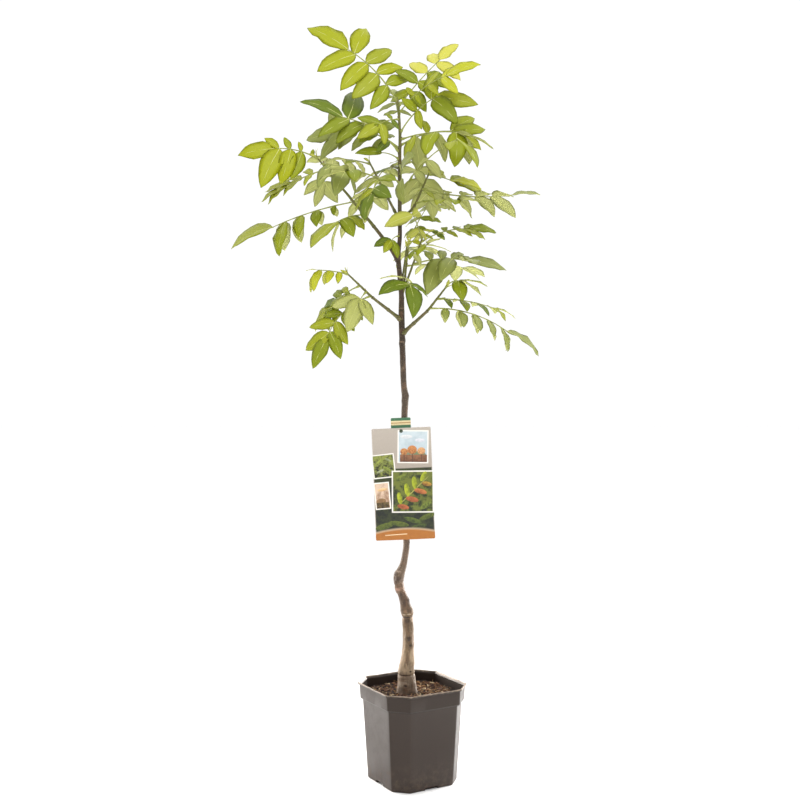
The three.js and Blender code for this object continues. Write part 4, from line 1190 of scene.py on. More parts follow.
def finished(bm, name, materials, slot, *nodes, crease):
    """The bmesh, in millimetres, as a shown piece: faces outward, smooth but for edges past a crease."""
    bmesh.ops.remove_doubles(bm, verts=bm.verts, dist=1e-4)
    bmesh.ops.recalc_face_normals(bm, faces=bm.faces)
    bmesh.ops.scale(bm, vec=(MM, MM, MM), verts=bm.verts)
    mesh = mesh_of(bm, name)
    for material in materials:
        mesh.materials.append(material)
    mesh.polygons.foreach_set("use_smooth", [True] * len(mesh.polygons))
    mesh.set_sharp_from_angle(angle=math.radians(crease))
    return show(mesh, slot, *nodes)


def cut_corners(bm, corners, offset, segments):
    """A flat face's corners cut off straight, or rounded where there is more than one segment."""
    bmesh.ops.bevel(bm, geom=corners, offset=offset, offset_type="OFFSET", segments=segments,
                    profile=0.5, affect="VERTICES", material=-1)


def close_ends(bm):
    """A face over each open end."""
    bmesh.ops.holes_fill(bm, edges=[edge for edge in bm.edges if edge.is_boundary], sides=0)


def new_limb(line, radii, around, relief):
    """A limb's skin: a grid rolled round a line, its seam joined and both ends closed."""
    ahead = np.gradient(line, axis=0)
    ahead /= np.linalg.norm(ahead, axis=1)[:, None]
    level = np.array((1.0, 0.0, 0.0))
    right = np.array([square_to(level if abs(way[0]) < 0.95 else UP, way) for way in ahead])
    back = np.cross(ahead, right)
    bm = bmesh.new()
    bmesh.ops.create_grid(bm, x_segments=around, y_segments=len(line) - 1, size=1)
    for corner in bm.verts:
        i = round((corner.co.x + 1) / 2 * around) % around
        k = round((corner.co.y + 1) / 2 * (len(line) - 1))
        turn = 2 * math.pi * i / around
        out = right[k] * math.cos(turn) + back[k] * math.sin(turn)
        corner.co = line[k] + out * (radii[k] + relief(line[k], out, radii[k]))
    bmesh.ops.remove_doubles(bm, verts=bm.verts, dist=1e-4)
    close_ends(bm)
    return bm


def smoothed(values, places, reach):
    """Values evened out over a reach of places."""
    weights = np.exp(-((places[:, None] - places[None, :]) / reach) ** 2 / 2)
    weights /= weights.sum(1)[:, None]
    return weights @ values


def facing(out, turn):
    """The angle, in radians, between the way a patch of bark faces and a turn."""
    across = math.atan2(out[1], out[0]) - math.radians(turn)
    return abs(math.atan2(math.sin(across), math.cos(across)))


def trunk_relief(middle, out, radius):
    """How far the trunk's bark stands out at a place: swellings, creases, scars, root flare, grain."""
    height = middle[2]
    relief = 0.0
    for at, turn, wide, proud in TRUNK_SWELLINGS:
        if abs(height - at) < 3 * wide:
            across = facing(out, turn) * radius
            relief += proud * math.exp(-((height - at) ** 2 + across**2) / wide**2)
    for at, wide, deep, sag in TRUNK_CREASES:
        if abs(height - at) < 12:
            level = at - CREASE_SAG * math.cos(facing(out, sag))
            relief -= deep * math.exp(-(((height - level) / wide) ** 2))
    for at, turn, wide, deep in TRUNK_SCARS:
        if abs(height - at) < 3 * wide:
            off = math.hypot(height - at, facing(out, turn) * radius) / wide
            relief += deep * (0.7 * math.exp(-((off - 1.3) ** 2) * 5) - math.exp(-off * off * 1.6))
    foot = math.exp(-(height - ROOT_FLARE["level"]) / ROOT_FLARE["fade"])
    turn = math.atan2(out[1], out[0])
    relief += foot * (1.5 * math.cos(3 * turn + 0.8) + 0.9 * math.cos(5 * turn + 2.1))
    place = Vector(middle + out * radius)
    old = min(max((radius - 3) / 9, 0.12), 1)
    grain = noise.noise(Vector((place.x * 0.32, place.y * 0.32, place.z * 0.06)))
    lump = noise.noise(place * 0.085)
    crumb = noise.fractal(place * 0.75, 0.7, 2.1, 4)
    return relief + old * (0.45 * grain + 0.75 * lump + 0.28 * crumb)


def bough_relief(middle, out, radius):
    """A bough's fine lengthwise grain and low lumps."""
    place = Vector(middle + out * radius)
    grain = noise.noise(Vector((place.x * 0.4, place.y * 0.4, place.z * 0.12)))
    return 0.16 * grain + 0.14 * noise.noise(place * 0.22)


TRUNK_SKIN = dict(rings=840, around=60, even_course=7, even_thickness=4, tip=6)
BOUGH_SKIN = dict(rings=90, around=22, collar=2.2, knot=0.7, end=0.8)
STUB_SKIN = dict(rings=22, around=14)
BARK_CREASE = 70


def make_trunk():
    """The trunk along its knots, evened out between them, blunt at its tip and flat on the soil."""
    skin = TRUNK_SKIN
    foot = TRUNK[0][0]
    heights = np.linspace(foot, TRUNK[-1][0], skin["rings"])
    knots = np.array(TRUNK, float)
    rights, backs, thick = (np.interp(heights, knots[:, 0], knots[:, k]) for k in (1, 2, 3))
    rights = smoothed(rights, heights, skin["even_course"])
    backs = smoothed(backs, heights, skin["even_course"])
    radii = smoothed(thick, heights, skin["even_thickness"]) / 2
    ends = np.clip((heights[-1] - heights) / skin["tip"], 0, 1)
    radii = radii * (0.35 + 0.65 * ends**0.6)
    line = np.stack([rights, backs, heights], 1)
    bm = new_limb(line, radii, skin["around"], trunk_relief)
    lowest = min(corner.co.z for corner in bm.verts)
    for corner in bm.verts:
        if corner.co.z < lowest + 1.2:
            corner.co.z = max(corner.co.z, foot)
    finished(bm, "trunk_with_bark", [TRUNK_BARK], "bark", "trunk", crease=BARK_CREASE)


def make_stub():
    """The short dead side twig with a swollen end."""
    rings = STUB_SKIN["rings"]
    line = smooth_path(walk(trunk_at(STUB["height"]), 3, **STUB), rings)
    places, sizes = zip(*STUB_PROFILE)
    radii = np.interp(np.linspace(0, 1, rings), places, sizes)

    def rough(middle, out, radius):
        return 0.35 * noise.noise(Vector(middle + out * radius) * 0.6)

    bm = new_limb(line, radii, STUB_SKIN["around"], rough)
    finished(bm, "trunk_stub", [BOUGH_BARK], "bark", crease=BARK_CREASE)


def make_bough(name):
    """A bough from inside the trunk, with a collar where it leaves, a knot halfway and one at its end."""
    bough, skin = BOUGHS[name], BOUGH_SKIN
    line = smooth_path(bough_paths[name], skin["rings"])
    share = np.linspace(0, 1, skin["rings"])
    radii = (bough["thick"] + (bough["tip"] - bough["thick"]) * share) / 2
    reach = share * bough["long"]
    radii += skin["collar"] * np.exp(-np.maximum(reach - trunk_radius(bough["height"]), 0) / 5)
    radii += skin["knot"] * np.exp(-((reach - bough["long"] * 0.46) / 2.6) ** 2)
    radii += skin["end"] * np.exp(-((reach - bough["long"]) / 3) ** 2)
    bm = new_limb(line, radii, skin["around"], bough_relief)
    finished(bm, name + "_bark", [BOUGH_BARK], "twig", name, crease=BARK_CREASE)


make_trunk()
make_stub()
for name in BOUGHS:
    make_bough(name)

# ---------------------------------------------------------------- pot and soil

POT_BLACK = shade(28, 19, 15)
DUST = dict(tone=shade(132, 112, 94), top=60, amount=0.22, scuffs=0.08)
# A painted shadow in the step under the collar, and a pale painted highlight along the top of the rolled
# lip, its lower edge ragged.
STEP_SHADOW = dict(tone=shade(16, 11, 9), low=(152.6, 153.8), high=(157.2, 156), amount=0.8)
LIP_HIGHLIGHT = dict(tone=shade(168, 150, 132), high=(188.5, 190.8), frayed=6, amount=0.62)


def pot_finish():
    """Dark moulded plastic: dusty and splashed towards its foot, with fine scuffs all over, a painted
    shadow in the step under the collar, and a pale painted highlight along the top of the lip."""
    material, w, shader = new_finish("pot_plastic", POT_BLACK, 0.36, Specular_IOR_Level=0.43,
                                     Specular_Tint=(1, 0.88, 0.8, 1))
    place = w.object_place()
    height = w.add("ShaderNodeSeparateXYZ", Vector=place).outputs[2]
    low = w.minus(1.0, w.over(height, DUST["top"] * MM), clamp=True)
    cloud = w.mask(w.noise(place, 70.0, 6.0, 0.7), 0.42, 0.72)
    splash = w.mask(w.noise(place, 520.0, 2.0, 0.5), 0.6, 0.72)
    settled = w.times(w.times(low, w.plus(cloud, splash)), DUST["amount"])
    scuff = w.mask(w.noise(w.object_place((1, 1, 6)), 240.0, 4.0, 0.65), 0.62, 0.74)
    dusty = w.plus(settled, w.times(scuff, DUST["scuffs"]), clamp=True)
    uneven = w.math("MULTIPLY_ADD", cloud, 0.08, 0.36)
    w.put(shader.inputs["Roughness"], w.math("MULTIPLY_ADD", dusty, 0.35, uneven))
    colour = w.mix(dusty, POT_BLACK, DUST["tone"])
    above, below = (w.mask(height, *(level * MM for level in STEP_SHADOW[end])) for end in ("low", "high"))
    shadow = w.times(w.times(above, below), STEP_SHADOW["amount"])
    colour = w.mix(shadow, colour, STEP_SHADOW["tone"])
    # The pale painted highlight along the top of the lip.
    fray = w.noise(place, 150.0, 4.0, 0.7)
    frayed = w.math("MULTIPLY_ADD", fray, LIP_HIGHLIGHT["frayed"] * MM, height)
    lip_highlight = w.mask(frayed, *(level * MM for level in LIP_HIGHLIGHT["high"]))
    colour = w.mix(w.times(lip_highlight, LIP_HIGHLIGHT["amount"]), colour, LIP_HIGHLIGHT["tone"])
    w.put(shader.inputs["Base Color"], colour)
    bump(w, shader, w.noise(place, 900.0, 3.0), 0.0001)
    return material


def soil_finish():
    """Potting soil in soft dark clouds, with a fine crumb."""
    dry, wet = shade(52, 35, 25), shade(24, 16, 12)
    material, w, shader = new_finish("soil", dry, 0.95)
    cloud = w.mask(w.noise(w.object_place(), 260.0, 5.0, 0.6), 0.35, 0.7)
    w.put(shader.inputs["Base Color"], w.mix(w.times(cloud, 0.8), dry, wet))
    bump(w, shader, w.noise(w.object_place(), 1560.0, 4.0), 0.0008)
    return material


POT_PLASTIC = pot_finish()
SOIL_DARK = soil_finish()
CHIP_SHADES = dict(
    black=(36, 24, 18), brown=(76, 50, 34), russet=(100, 64, 42), tan=(142, 106, 68), pale=(188, 166, 130)
)
CHIP_TONES = [plain_finish("chip_" + name, shade(*tone), 0.9) for name, tone in CHIP_SHADES.items()]

# The pot's outside in finer levels than the plain solid's: the rounded foot, the walls, the step under
# the collar and the rolled lip.
POT_OUTSIDE = [
    POT_LEVELS[0], (0.8, 72.6, 25.3), POT_LEVELS[1], (80, 78.2, 27.9),
    (153.8, 82.4, 30), (155.4, 83.2, 30.3), (156.3, 85.8, 31.2), (157.6, 86.6, 31.5),
    (183.5, 88.2, 32.6), (184.3, 90.4, 33.7), (186.4, 91.3, 34.1), (187.7, 91.0, 34.0),
    (188.1, 90.1, 33.6), (187.9, 89.2, 33.2), (186.6, 88.4, 32.8),
]
POT_ROUND = 1.6  # how far each upright edge is rounded off
POT_CUTS = 11
POT_SIDE = 8  # an edge longer than this is a side, not part of a rounded corner
# The moulding wanders from true in soft waves, each so deep and so fine: the lip above one height up
# and down, and the walls above another in and out.
LIP_WAVES = dict(above=180, waves=((0.9, 0.03), (0.35, 0.12)))
WALL_WAVE = dict(above=5, deep=0.35, fine=0.03)
CORNER_SHARE = 2 - math.sqrt(2)  # how much less a corner side cuts off for each millimetre further in


def octagon_loop(bm, height, flat, corner):
    """The pot's outline at one level: a square whose corners are cut off, then each corner rounded."""
    corners = bmesh.ops.create_grid(bm, x_segments=1, y_segments=1, size=flat)["verts"]
    cut_corners(bm, corners, corner, 1)
    face = next(face for face in bm.faces if face.is_valid)
    cut_corners(bm, list(face.verts), POT_ROUND, 3)
    face = next(face for face in bm.faces if face.is_valid)
    long_edges = [edge for edge in face.edges if edge.calc_length() > POT_SIDE]
    bmesh.ops.subdivide_edges(bm, edges=long_edges, cuts=POT_CUTS)
    face = next(face for face in bm.faces if face.is_valid)
    loop = list(face.edges)
    for corner_point in face.verts:
        corner_point.co.z = height
    bmesh.ops.delete(bm, geom=[face], context="FACES_ONLY")
    return loop


def stacked(bm, levels):
    """Skin over the octagons at these levels, with both ends closed."""
    loops = [octagon_loop(bm, *level) for level in levels]
    for low, high in zip(loops, loops[1:]):
        bmesh.ops.bridge_loops(bm, edges=low + high)
    close_ends(bm)


def inside_of(height, flat, corner, inset):
    """The octagon that lies so far inside another."""
    return height, flat - inset, corner - CORNER_SHARE * inset


def spin_of(degrees, axis="Z"):
    return Matrix.Rotation(math.radians(degrees), 3, axis)


def turn_all(bm, degrees, axis="Z"):
    """All that is made so far, turned about an axis through the middle."""
    bmesh.ops.rotate(bm, verts=bm.verts, cent=(0, 0, 0), matrix=spin_of(degrees, axis))


def drain_cutter(side):
    """A block with rounded upper edges that notches the middle of one side's foot, as an object."""
    cutter = bmesh.new()
    block = bmesh.ops.create_cube(cutter, size=1)["verts"]
    size = Vector((DRAIN["deep"], DRAIN["width"], 2 * DRAIN["height"]))
    bmesh.ops.scale(cutter, verts=block, vec=size * MM)
    bmesh.ops.translate(cutter, verts=block, vec=Vector((POT_LEVELS[1][1], 0, 0)) * MM)
    upper = []
    for edge in cutter.edges:
        one, other = (corner.co for corner in edge.verts)
        if abs(one.y - other.y) < 1e-6 and one.z > 0 and other.z > 0:
            upper.append(edge)
    bmesh.ops.bevel(cutter, geom=upper, offset=DRAIN["round"] * MM, segments=4, profile=0.5,
                    affect="EDGES", material=-1)
    turn_all(cutter, POT_TURN + 90 * side)
    return new_object("drain_cutter", mesh_of(cutter, "drain_cutter"))


def make_pot():
    """Foot, walls, the wider collar and the rolled lip, then down the inside to the floor."""
    inside = [inside_of(*level, POT_WALL) for level in reversed(POT_LEVELS[1:])]
    inside[-1] = inside_of(POT_FLOOR, *POT_LEVELS[1][1:], POT_WALL)
    bm = bmesh.new()
    stacked(bm, POT_OUTSIDE + inside)
    for corner in bm.verts:
        place = corner.co
        outward = Vector((place.x, place.y, 0))
        if place.z > LIP_WAVES["above"]:
            corner.co.z += sum(deep * noise.noise(outward * fine) for deep, fine in LIP_WAVES["waves"])
        elif place.z > WALL_WAVE["above"]:
            wave = WALL_WAVE["deep"] * noise.noise(place * WALL_WAVE["fine"])
            corner.co += outward.normalized() * wave
    turn_all(bm, POT_TURN)
    pot = finished(bm, "pot_body", [POT_PLASTIC], "pot", "pot", crease=28)
    cutters = [drain_cutter(side) for side in range(4)]
    for cutter in cutters:
        cut = pot.modifiers.new("drain", "BOOLEAN")
        cut.object = cutter
        cut.solver = "EXACT"
    bpy.context.view_layer.update()
    shaped = bpy.data.meshes.new_from_object(pot.evaluated_get(bpy.context.evaluated_depsgraph_get()))
    pot.modifiers.clear()
    pot.data = shaped
    for cutter in cutters:
        bpy.data.objects.remove(cutter)


SOIL_LUMPS = ((2.6, 0.035), (1.1, 0.12))  # each so deep and so fine
SOIL_RING = dict(x=-10, radius=21, wide=16, high=1.2)
SOIL_SUNK = 1.4


def soil_height(x, y):
    """The soil's surface: lumps, and a low ring of bark that has settled round the trunk."""
    place = Vector((x, y, 0))
    lumps = sum(deep * noise.noise(place * fine) for deep, fine in SOIL_LUMPS)
    away = (math.hypot(x - SOIL_RING["x"], y) - SOIL_RING["radius"]) / SOIL_RING["wide"]
    return SOIL_TOP - SOIL_SUNK + lumps + SOIL_RING["high"] * math.exp(-away**2)


# On its way down from the surface to the floor the soil narrows: height, and its share of the width.
SOIL_DOWN = [(158.5, 0.991), (154, 0.943), (POT_FLOOR + GAP, 0.838)]


def make_soil():
    """A fine grid cut to the pot's inside, raised into lumps, and carried down to the floor."""
    low, high = POT_LEVELS[3:]
    share = (SOIL_TOP - low[0]) / (high[0] - low[0])
    outside = (low[k] + share * (high[k] - low[k]) for k in (1, 2))
    _, flat, corner = inside_of(SOIL_TOP, *outside, POT_WALL + GAP)
    bm = bmesh.new()
    bmesh.ops.create_grid(bm, x_segments=90, y_segments=90, size=flat)
    for side in range(4):
        way = spin_of(45 + 90 * side) @ Vector((1, 0, 0))
        reach = (2 * flat - corner) / math.sqrt(2)
        bmesh.ops.bisect_plane(bm, geom=bm.verts[:] + bm.edges[:] + bm.faces[:], dist=1e-4,
                               plane_co=way * reach, plane_no=way, clear_outer=True)
    turn_all(bm, POT_TURN)
    rim = [edge for edge in bm.edges if edge.is_boundary]
    for place in bm.verts:
        place.co.z = soil_height(place.co.x, place.co.y)
    before = 1
    for height, share in SOIL_DOWN:
        made = bmesh.ops.extrude_edge_only(bm, edges=rim)["geom"]
        rim = [item for item in made if isinstance(item, bmesh.types.BMEdge)]
        for place in {place for edge in rim for place in edge.verts}:
            x, y = place.co.xy * (share / before)
            place.co = (x, y, height)
        before = share
    close_ends(bm)
    finished(bm, "soil_fill", [SOIL_DARK], "soil", "soil", crease=60)


# A chip is a small block. More of the dark tones come up on the left, as painted shade.
CHIP_CORNERS = np.array([(x, y, z) for z in (-1, 1) for y in (-1, 1) for x in (-1, 1)], float)
CHIP_FACES = [(0, 2, 3, 1), (4, 5, 7, 6), (0, 1, 5, 4), (1, 3, 7, 5), (3, 2, 6, 7), (2, 0, 4, 6)]
CHIP_COUNT = 2300
FIBRE_COUNT = 620
CHIP = dict(crumb=(0.7, 1.6), large=(1.6, 3.2), tip=16, roll=24, long=(1.0, 2.1), wide=(0.4, 0.75),
            thick=0.3, skewed=(0.62, 1.0))
FIBRE = dict(long=(5, 16), rise=(5, 14), curve=70, droop=(-40, 5), radius=(0.24, 0.5),
             taper=(0.5, 1, 1, 0.8, 0.3), clear=0.7)
CHIP_ODDS_LEFT_SHADED = (0.4, 0.3, 0.18, 0.09, 0.03)
CHIP_ODDS_RIGHT = (0.24, 0.28, 0.22, 0.19, 0.07)
FIBRE_ODDS = (0.12, 0.2, 0.28, 0.28, 0.12)
SOIL_ROOM = dict(reach=84, flat=83, corner=136, trunk=21)  # what litter keeps within, and keeps off


def soil_place(chance, margin):
    """A place on the soil, clear of the pot's walls and of the trunk."""
    turn = math.radians(-POT_TURN)
    while True:
        x, y = chance.uniform(-SOIL_ROOM["reach"], SOIL_ROOM["reach"], 2)
        a = abs(x * math.cos(turn) - y * math.sin(turn))
        b = abs(x * math.sin(turn) + y * math.cos(turn))
        within = max(a, b) < SOIL_ROOM["flat"] - margin and a + b < SOIL_ROOM["corner"] - margin * 1.4
        if within and math.hypot(x - TRUNK[0][1], y) > SOIL_ROOM["trunk"] + margin * 0.5:
            return x, y


def add_chip(chips, chance, sizes):
    """A flat splinter of bark, skewed and tipped."""
    x, y = soil_place(chance, 3)
    size = chance.uniform(*sizes)
    spin, tip, roll = chance.uniform(0, 360), chance.normal(0, CHIP["tip"]), chance.normal(0, CHIP["roll"])
    turn = np.array(spin_of(spin) @ spin_of(tip, "Y") @ spin_of(roll, "X"))
    half = np.array((chance.uniform(*CHIP["long"]), chance.uniform(*CHIP["wide"]), CHIP["thick"])) * size
    shape = CHIP_CORNERS * half * chance.uniform(*CHIP["skewed"], CHIP_CORNERS.shape)
    # On the left the darker tones are painted shade.
    tone = chance.choice(5, p=CHIP_ODDS_LEFT_SHADED if x < 5 else CHIP_ODDS_RIGHT)
    chips.add(shape @ turn.T + (x, y, soil_height(x, y) + half[2]), CHIP_FACES, CHIP_TONES[tone])


def add_fibre(fibres, chance):
    """A thin curved thread of bark that lies on the soil or stands up from it a little."""
    x, y = soil_place(chance, 6)
    long, spin, rise = chance.uniform(*FIBRE["long"]), chance.uniform(0, 360), chance.normal(*FIBRE["rise"])
    curve = chance.uniform(-FIBRE["curve"], FIBRE["curve"])
    start = np.array((x, y, soil_height(x, y) + 1.2))
    line = np.array(walk(start, 4, spin, rise, long, curve, chance.uniform(*FIBRE["droop"])))
    line[:, 2] = np.maximum(line[:, 2], [soil_height(*point[:2]) + FIBRE["clear"] for point in line])
    tone = chance.choice(5, p=FIBRE_ODDS)
    radius = chance.uniform(*FIBRE["radius"])
    fibres.add(*tube(line, radius * np.array(FIBRE["taper"]), 4), CHIP_TONES[tone])


def make_litter():
    """Bark chips, crumbs and fibres lying on the soil."""
    chance = np.random.default_rng(5)
    chips, fibres = Joined(*CHIP_TONES), Joined(*CHIP_TONES)
    for k in range(CHIP_COUNT):
        add_chip(chips, chance, CHIP["crumb" if k % 4 else "large"])
    for k in range(FIBRE_COUNT):
        add_fibre(fibres, chance)
    chips.make("soil_chips", "soil")
    fibres.make("soil_fibres", "soil")


make_pot()
make_soil()
make_litter()

# ---------------------------------------------------------------- label and tie


def card_place(across, up):
    """Where a place on the card, measured from its middle, lies once it leans."""
    lean = math.radians(LABEL["lean"])
    return (LABEL["x"] + across * math.cos(lean) - up * math.sin(lean),
            LABEL["z"] + across * math.sin(lean) + up * math.cos(lean))


def make_printed_spot():
    """One printed patch, square or round, over the colour under it, its ink shaded towards its foot."""
    inputs = dict(Under=(1, 1, 1, 1), Ink=(0.5, 0.5, 0.5, 1), Shaded=(0.2, 0.2, 0.2, 1), Across=0.0, Up=0.0,
                  Wide=0.01, High=0.01, Turn=0.0, Round=0.0, Blotch=0.3, Size=200.0)
    group, w = new_effect("printed_spot", inputs, ["Colour"])
    place = w.object_place()
    split = w.add("ShaderNodeSeparateXYZ", Vector=place).outputs
    dx = w.minus(split[0], w.inputs["Across"])
    dz = w.minus(split[2], w.inputs["Up"])
    cosine, sine = w.math("COSINE", w.inputs["Turn"]), w.math("SINE", w.inputs["Turn"])
    along = w.plus(w.times(dx, cosine), w.times(dz, sine))
    above = w.minus(w.times(dz, cosine), w.times(dx, sine))
    p = w.over(along, w.inputs["Wide"])
    q = w.over(above, w.inputs["High"])
    square = w.math("MAXIMUM", w.math("ABSOLUTE", p), w.math("ABSOLUTE", q))
    ring = w.math("SQRT", w.plus(w.times(p, p), w.times(q, q)))
    away = w.plus(square, w.times(w.minus(ring, square), w.inputs["Round"]))
    inked = w.mask(away, 1.0, 0.96)
    cloud = w.minus(w.noise(place, w.inputs["Size"], 4.0, 0.65), 0.5)
    blotch = w.times(w.times(cloud, w.inputs["Blotch"]), 6.0)
    dark = w.plus(w.math("MULTIPLY_ADD", q, -0.35, 0.35), blotch, clamp=True)
    ink = w.mix(dark, w.inputs["Ink"], w.inputs["Shaded"])
    w.put(w.outputs["Colour"], w.mix(inked, w.inputs["Under"], ink))
    return group


PRINTED_SPOT = make_printed_spot()

# The card's inks, each with its shaded tone.
CARD_INKS = dict(
    paper=((246, 241, 232), (246, 241, 232)),
    sand=((184, 174, 162), (164, 152, 139)),
    field=((46, 54, 18), (12, 20, 6)),
    leaf=((92, 104, 26), (36, 50, 12)),
    dim_leaf=((86, 102, 28), (36, 50, 12)),
    deep_leaf=((70, 86, 24), (12, 20, 6)),
    pale_sky=((202, 214, 218), (164, 182, 190)),
    cloud=((228, 230, 230), (190, 196, 200)),
    low_cloud=((226, 226, 230), (186, 190, 200)),
    far_hill=((134, 146, 116), (104, 118, 92)),
    near_hill=((122, 136, 100), (92, 106, 76)),
    ploughed=((146, 98, 66), (92, 58, 38)),
    furrow=((112, 72, 48), (84, 52, 34)),
    stem=((92, 64, 46), (92, 64, 46)),
    peach=((208, 144, 84), (140, 82, 42)),
    apricot=((208, 138, 78), (140, 82, 42)),
    pale_peach=((224, 172, 118), (164, 100, 54)),
    hedge=((138, 146, 66), (34, 36, 14)),
    hedge_leaf=((160, 170, 74), (92, 102, 34)),
    dark_hedge_leaf=((144, 156, 62), (78, 90, 28)),
    silver_leaf=((176, 182, 140), (100, 108, 62)),
    dark_silver_leaf=((166, 174, 126), (92, 100, 58)),
    thicket=((104, 112, 38), (32, 42, 12)),
    thicket_leaf=((120, 132, 44), (36, 50, 12)),
    low_thicket_leaf=((116, 130, 42), (36, 50, 12)),
    stalk=((170, 168, 84), (120, 118, 52)),
    lime=((178, 186, 36), (92, 106, 14)),
    dim_lime=((170, 178, 34), (92, 106, 14)),
    russet=((184, 100, 54), (104, 50, 24)),
    pale_russet=((196, 118, 60), (104, 50, 24)),
    yellowed=((186, 146, 50), (104, 50, 24)),
    evening_sky=((222, 194, 168), (128, 84, 46)),
    lit_cloud=((236, 204, 152), (196, 146, 92)),
    dusky_hill=((150, 116, 74), (112, 80, 46)),
    dusky_grass=((98, 80, 40), (48, 36, 16)),
    foot_edge=((210, 186, 154), (210, 186, 154)),
    ochre=((172, 106, 34), (146, 80, 20)),
    foot_line=((228, 200, 158), (228, 200, 158)),
    tab_green=((62, 110, 76), (44, 86, 58)),
    tab_cream=((222, 206, 160), (200, 182, 134)),
    tab_line=((170, 124, 76), (146, 100, 58)),
)
# The card's print, from the back forward, in millimetres from the card's middle: across, up, half
# width, half height, turn in degrees, round or square, blotch, the scale of the blotches, and the ink.
CARD_PRINT = [
    (0, 70, 58, 40, 0, 0, 0.15, 400, "sand"),
    (0, -40, 58, 72, 0, 0, 0.9, 70, "field"),
    (-40, -82, 19, 6, 14, 1, 0.5, 200, "leaf"),
    (-12, -78, 20, 5, -10, 1, 0.5, 200, "leaf"),
    (16, -72, 18, 5, -18, 1, 0.5, 200, "dim_leaf"),
    (44, -66, 17, 5, 20, 1, 0.5, 200, "leaf"),
    (28, -84, 15, 4, 8, 1, 0.5, 200, "deep_leaf"),
    # high on the right, three small trees on a ploughed field under a pale sky
    (22, 72, 31, 33, -3, 0, 0, 100, "paper"),
    (22, 72, 28.6, 30.6, -3, 0, 0.3, 60, "pale_sky"),
    (10, 92, 12, 4, -3, 1, 0.3, 200, "cloud"),
    (36, 84, 10, 3.4, -3, 1, 0.3, 200, "low_cloud"),
    (11, 57, 15, 6, 6, 1, 0.4, 160, "far_hill"),
    (33, 56, 14, 7, -8, 1, 0.4, 160, "near_hill"),
    (22, 49, 27, 7.4, -3, 0, 0.5, 160, "ploughed"),
    (21, 44, 26, 1.2, -3, 1, 0.4, 200, "furrow"),
    (4, 52, 0.9, 7, 0, 0, 0, 100, "stem"),
    (20, 51, 1.0, 9, 0, 0, 0, 100, "stem"),
    (38, 52, 0.9, 8, 0, 0, 0, 100, "stem"),
    (4, 63, 7.5, 6.5, 0, 1, 0.6, 300, "peach"),
    (20, 66, 9.5, 8.5, 0, 1, 0.6, 300, "apricot"),
    (38, 63, 8, 7, 0, 1, 0.6, 300, "pale_peach"),
    # a hedge, low on the left of the sandy ground
    (-37, 36, 22.5, 24, 4, 0, 0, 100, "paper"),
    (-37, 36, 20.4, 21.8, 4, 0, 1.0, 110, "hedge"),
    (-46, 44, 9, 2.6, 40, 1, 0.4, 200, "hedge_leaf"),
    (-30, 30, 10, 2.8, -34, 1, 0.4, 200, "dark_hedge_leaf"),
    (-44, 26, 8, 2.4, 24, 1, 0.4, 200, "silver_leaf"),
    (-28, 48, 7, 2.2, -28, 1, 0.4, 200, "dark_silver_leaf"),
    # the largest picture: one long leaf on a dark thicket, half of its leaflets turned russet
    (18, -16, 42, 42, -2, 0, 0, 100, "paper"),
    (18, -16, 39.6, 39.6, -2, 0, 1.0, 80, "thicket"),
    (-4, 12, 14, 5, 20, 1, 0.5, 200, "thicket_leaf"),
    (42, -44, 13, 5, 30, 1, 0.5, 200, "low_thicket_leaf"),
    (18, -16, 44, 1.2, 42, 1, 0.2, 200, "stalk"),
    (-8, -28, 12, 5, 98, 1, 0.35, 160, "lime"),
    (7, -12, 13, 5.4, 98, 1, 0.35, 160, "lime"),
    (22, 1, 13, 5.2, 96, 1, 0.35, 160, "dim_lime"),
    (-2, -45, 12, 4.8, -14, 1, 0.35, 160, "russet"),
    (16, -31, 13, 5.2, -14, 1, 0.35, 160, "russet"),
    (33, -16, 13, 5, -16, 1, 0.35, 160, "pale_russet"),
    (46, -2, 10, 4.4, -12, 1, 0.35, 160, "yellowed"),
    (40, 13, 11, 4.6, 60, 1, 0.35, 160, "lime"),
    # at the left, a warm evening over low hills
    (-42, -22, 15.5, 27, 3, 0, 0, 100, "paper"),
    (-42, -22, 13.4, 24.8, 3, 0, 0.5, 90, "evening_sky"),
    (-42, -10, 10, 3.0, 8, 1, 0.5, 120, "lit_cloud"),
    (-45, -33, 10, 6, 12, 1, 0.5, 140, "dusky_hill"),
    (-41.5, -40.5, 12.6, 5.8, 3, 0, 0.9, 160, "dusky_grass"),
    # the ochre foot, bowed at its top, with a plain line
    (0, -224, 190, 140, 0, 1, 0, 100, "foot_edge"),
    (0, -226, 190, 140, 0, 1, 0.12, 90, "ochre"),
    (-18, -99, 22, 0.9, 2, 0, 0, 100, "foot_line"),
    # the tab, green with a cream band
    (0, 119.5, 20, 10.2, 0, 0, 0.1, 200, "tab_green"),
    (0, 119.5, 20, 4.4, 0, 0, 0.1, 200, "tab_cream"),
    (0, 119.5, 20, 0.8, 0, 0, 0.1, 200, "tab_line"),
]


def card_finish():
    """Glossy printed card: each patch of the print laid over those before it."""
    colour = shade(*CARD_INKS["sand"][0])
    material, w, shader = new_finish("card_print", colour, 0.42, Coat_Weight=0.3, Coat_Roughness=0.25)
    for across, up, wide, high, turn, rounded, blotch, size, ink in CARD_PRINT:
        x, z = card_place(across, up)
        bright, shaded = (shade(*tone) for tone in CARD_INKS[ink])
        patch = effect(w, PRINTED_SPOT, Under=colour, Ink=bright, Shaded=shaded, Across=x * MM, Up=z * MM,
                       Wide=wide * MM, High=high * MM, Turn=math.radians(turn + LABEL["lean"]),
                       Round=rounded, Blotch=blotch, Size=size)
        colour = patch["Colour"]
    w.put(shader.inputs["Base Color"], colour)
    return material


CARD_PRINTED = card_finish()
CARD_BACK = plain_finish("card_back", shade(226, 222, 212), 0.6)
TIE_RUBBER = plain_finish("tie_rubber", shade(52, 66, 44), 0.5)
CARD_BOW = 1.3  # how far the card's long edges stand back from its middle


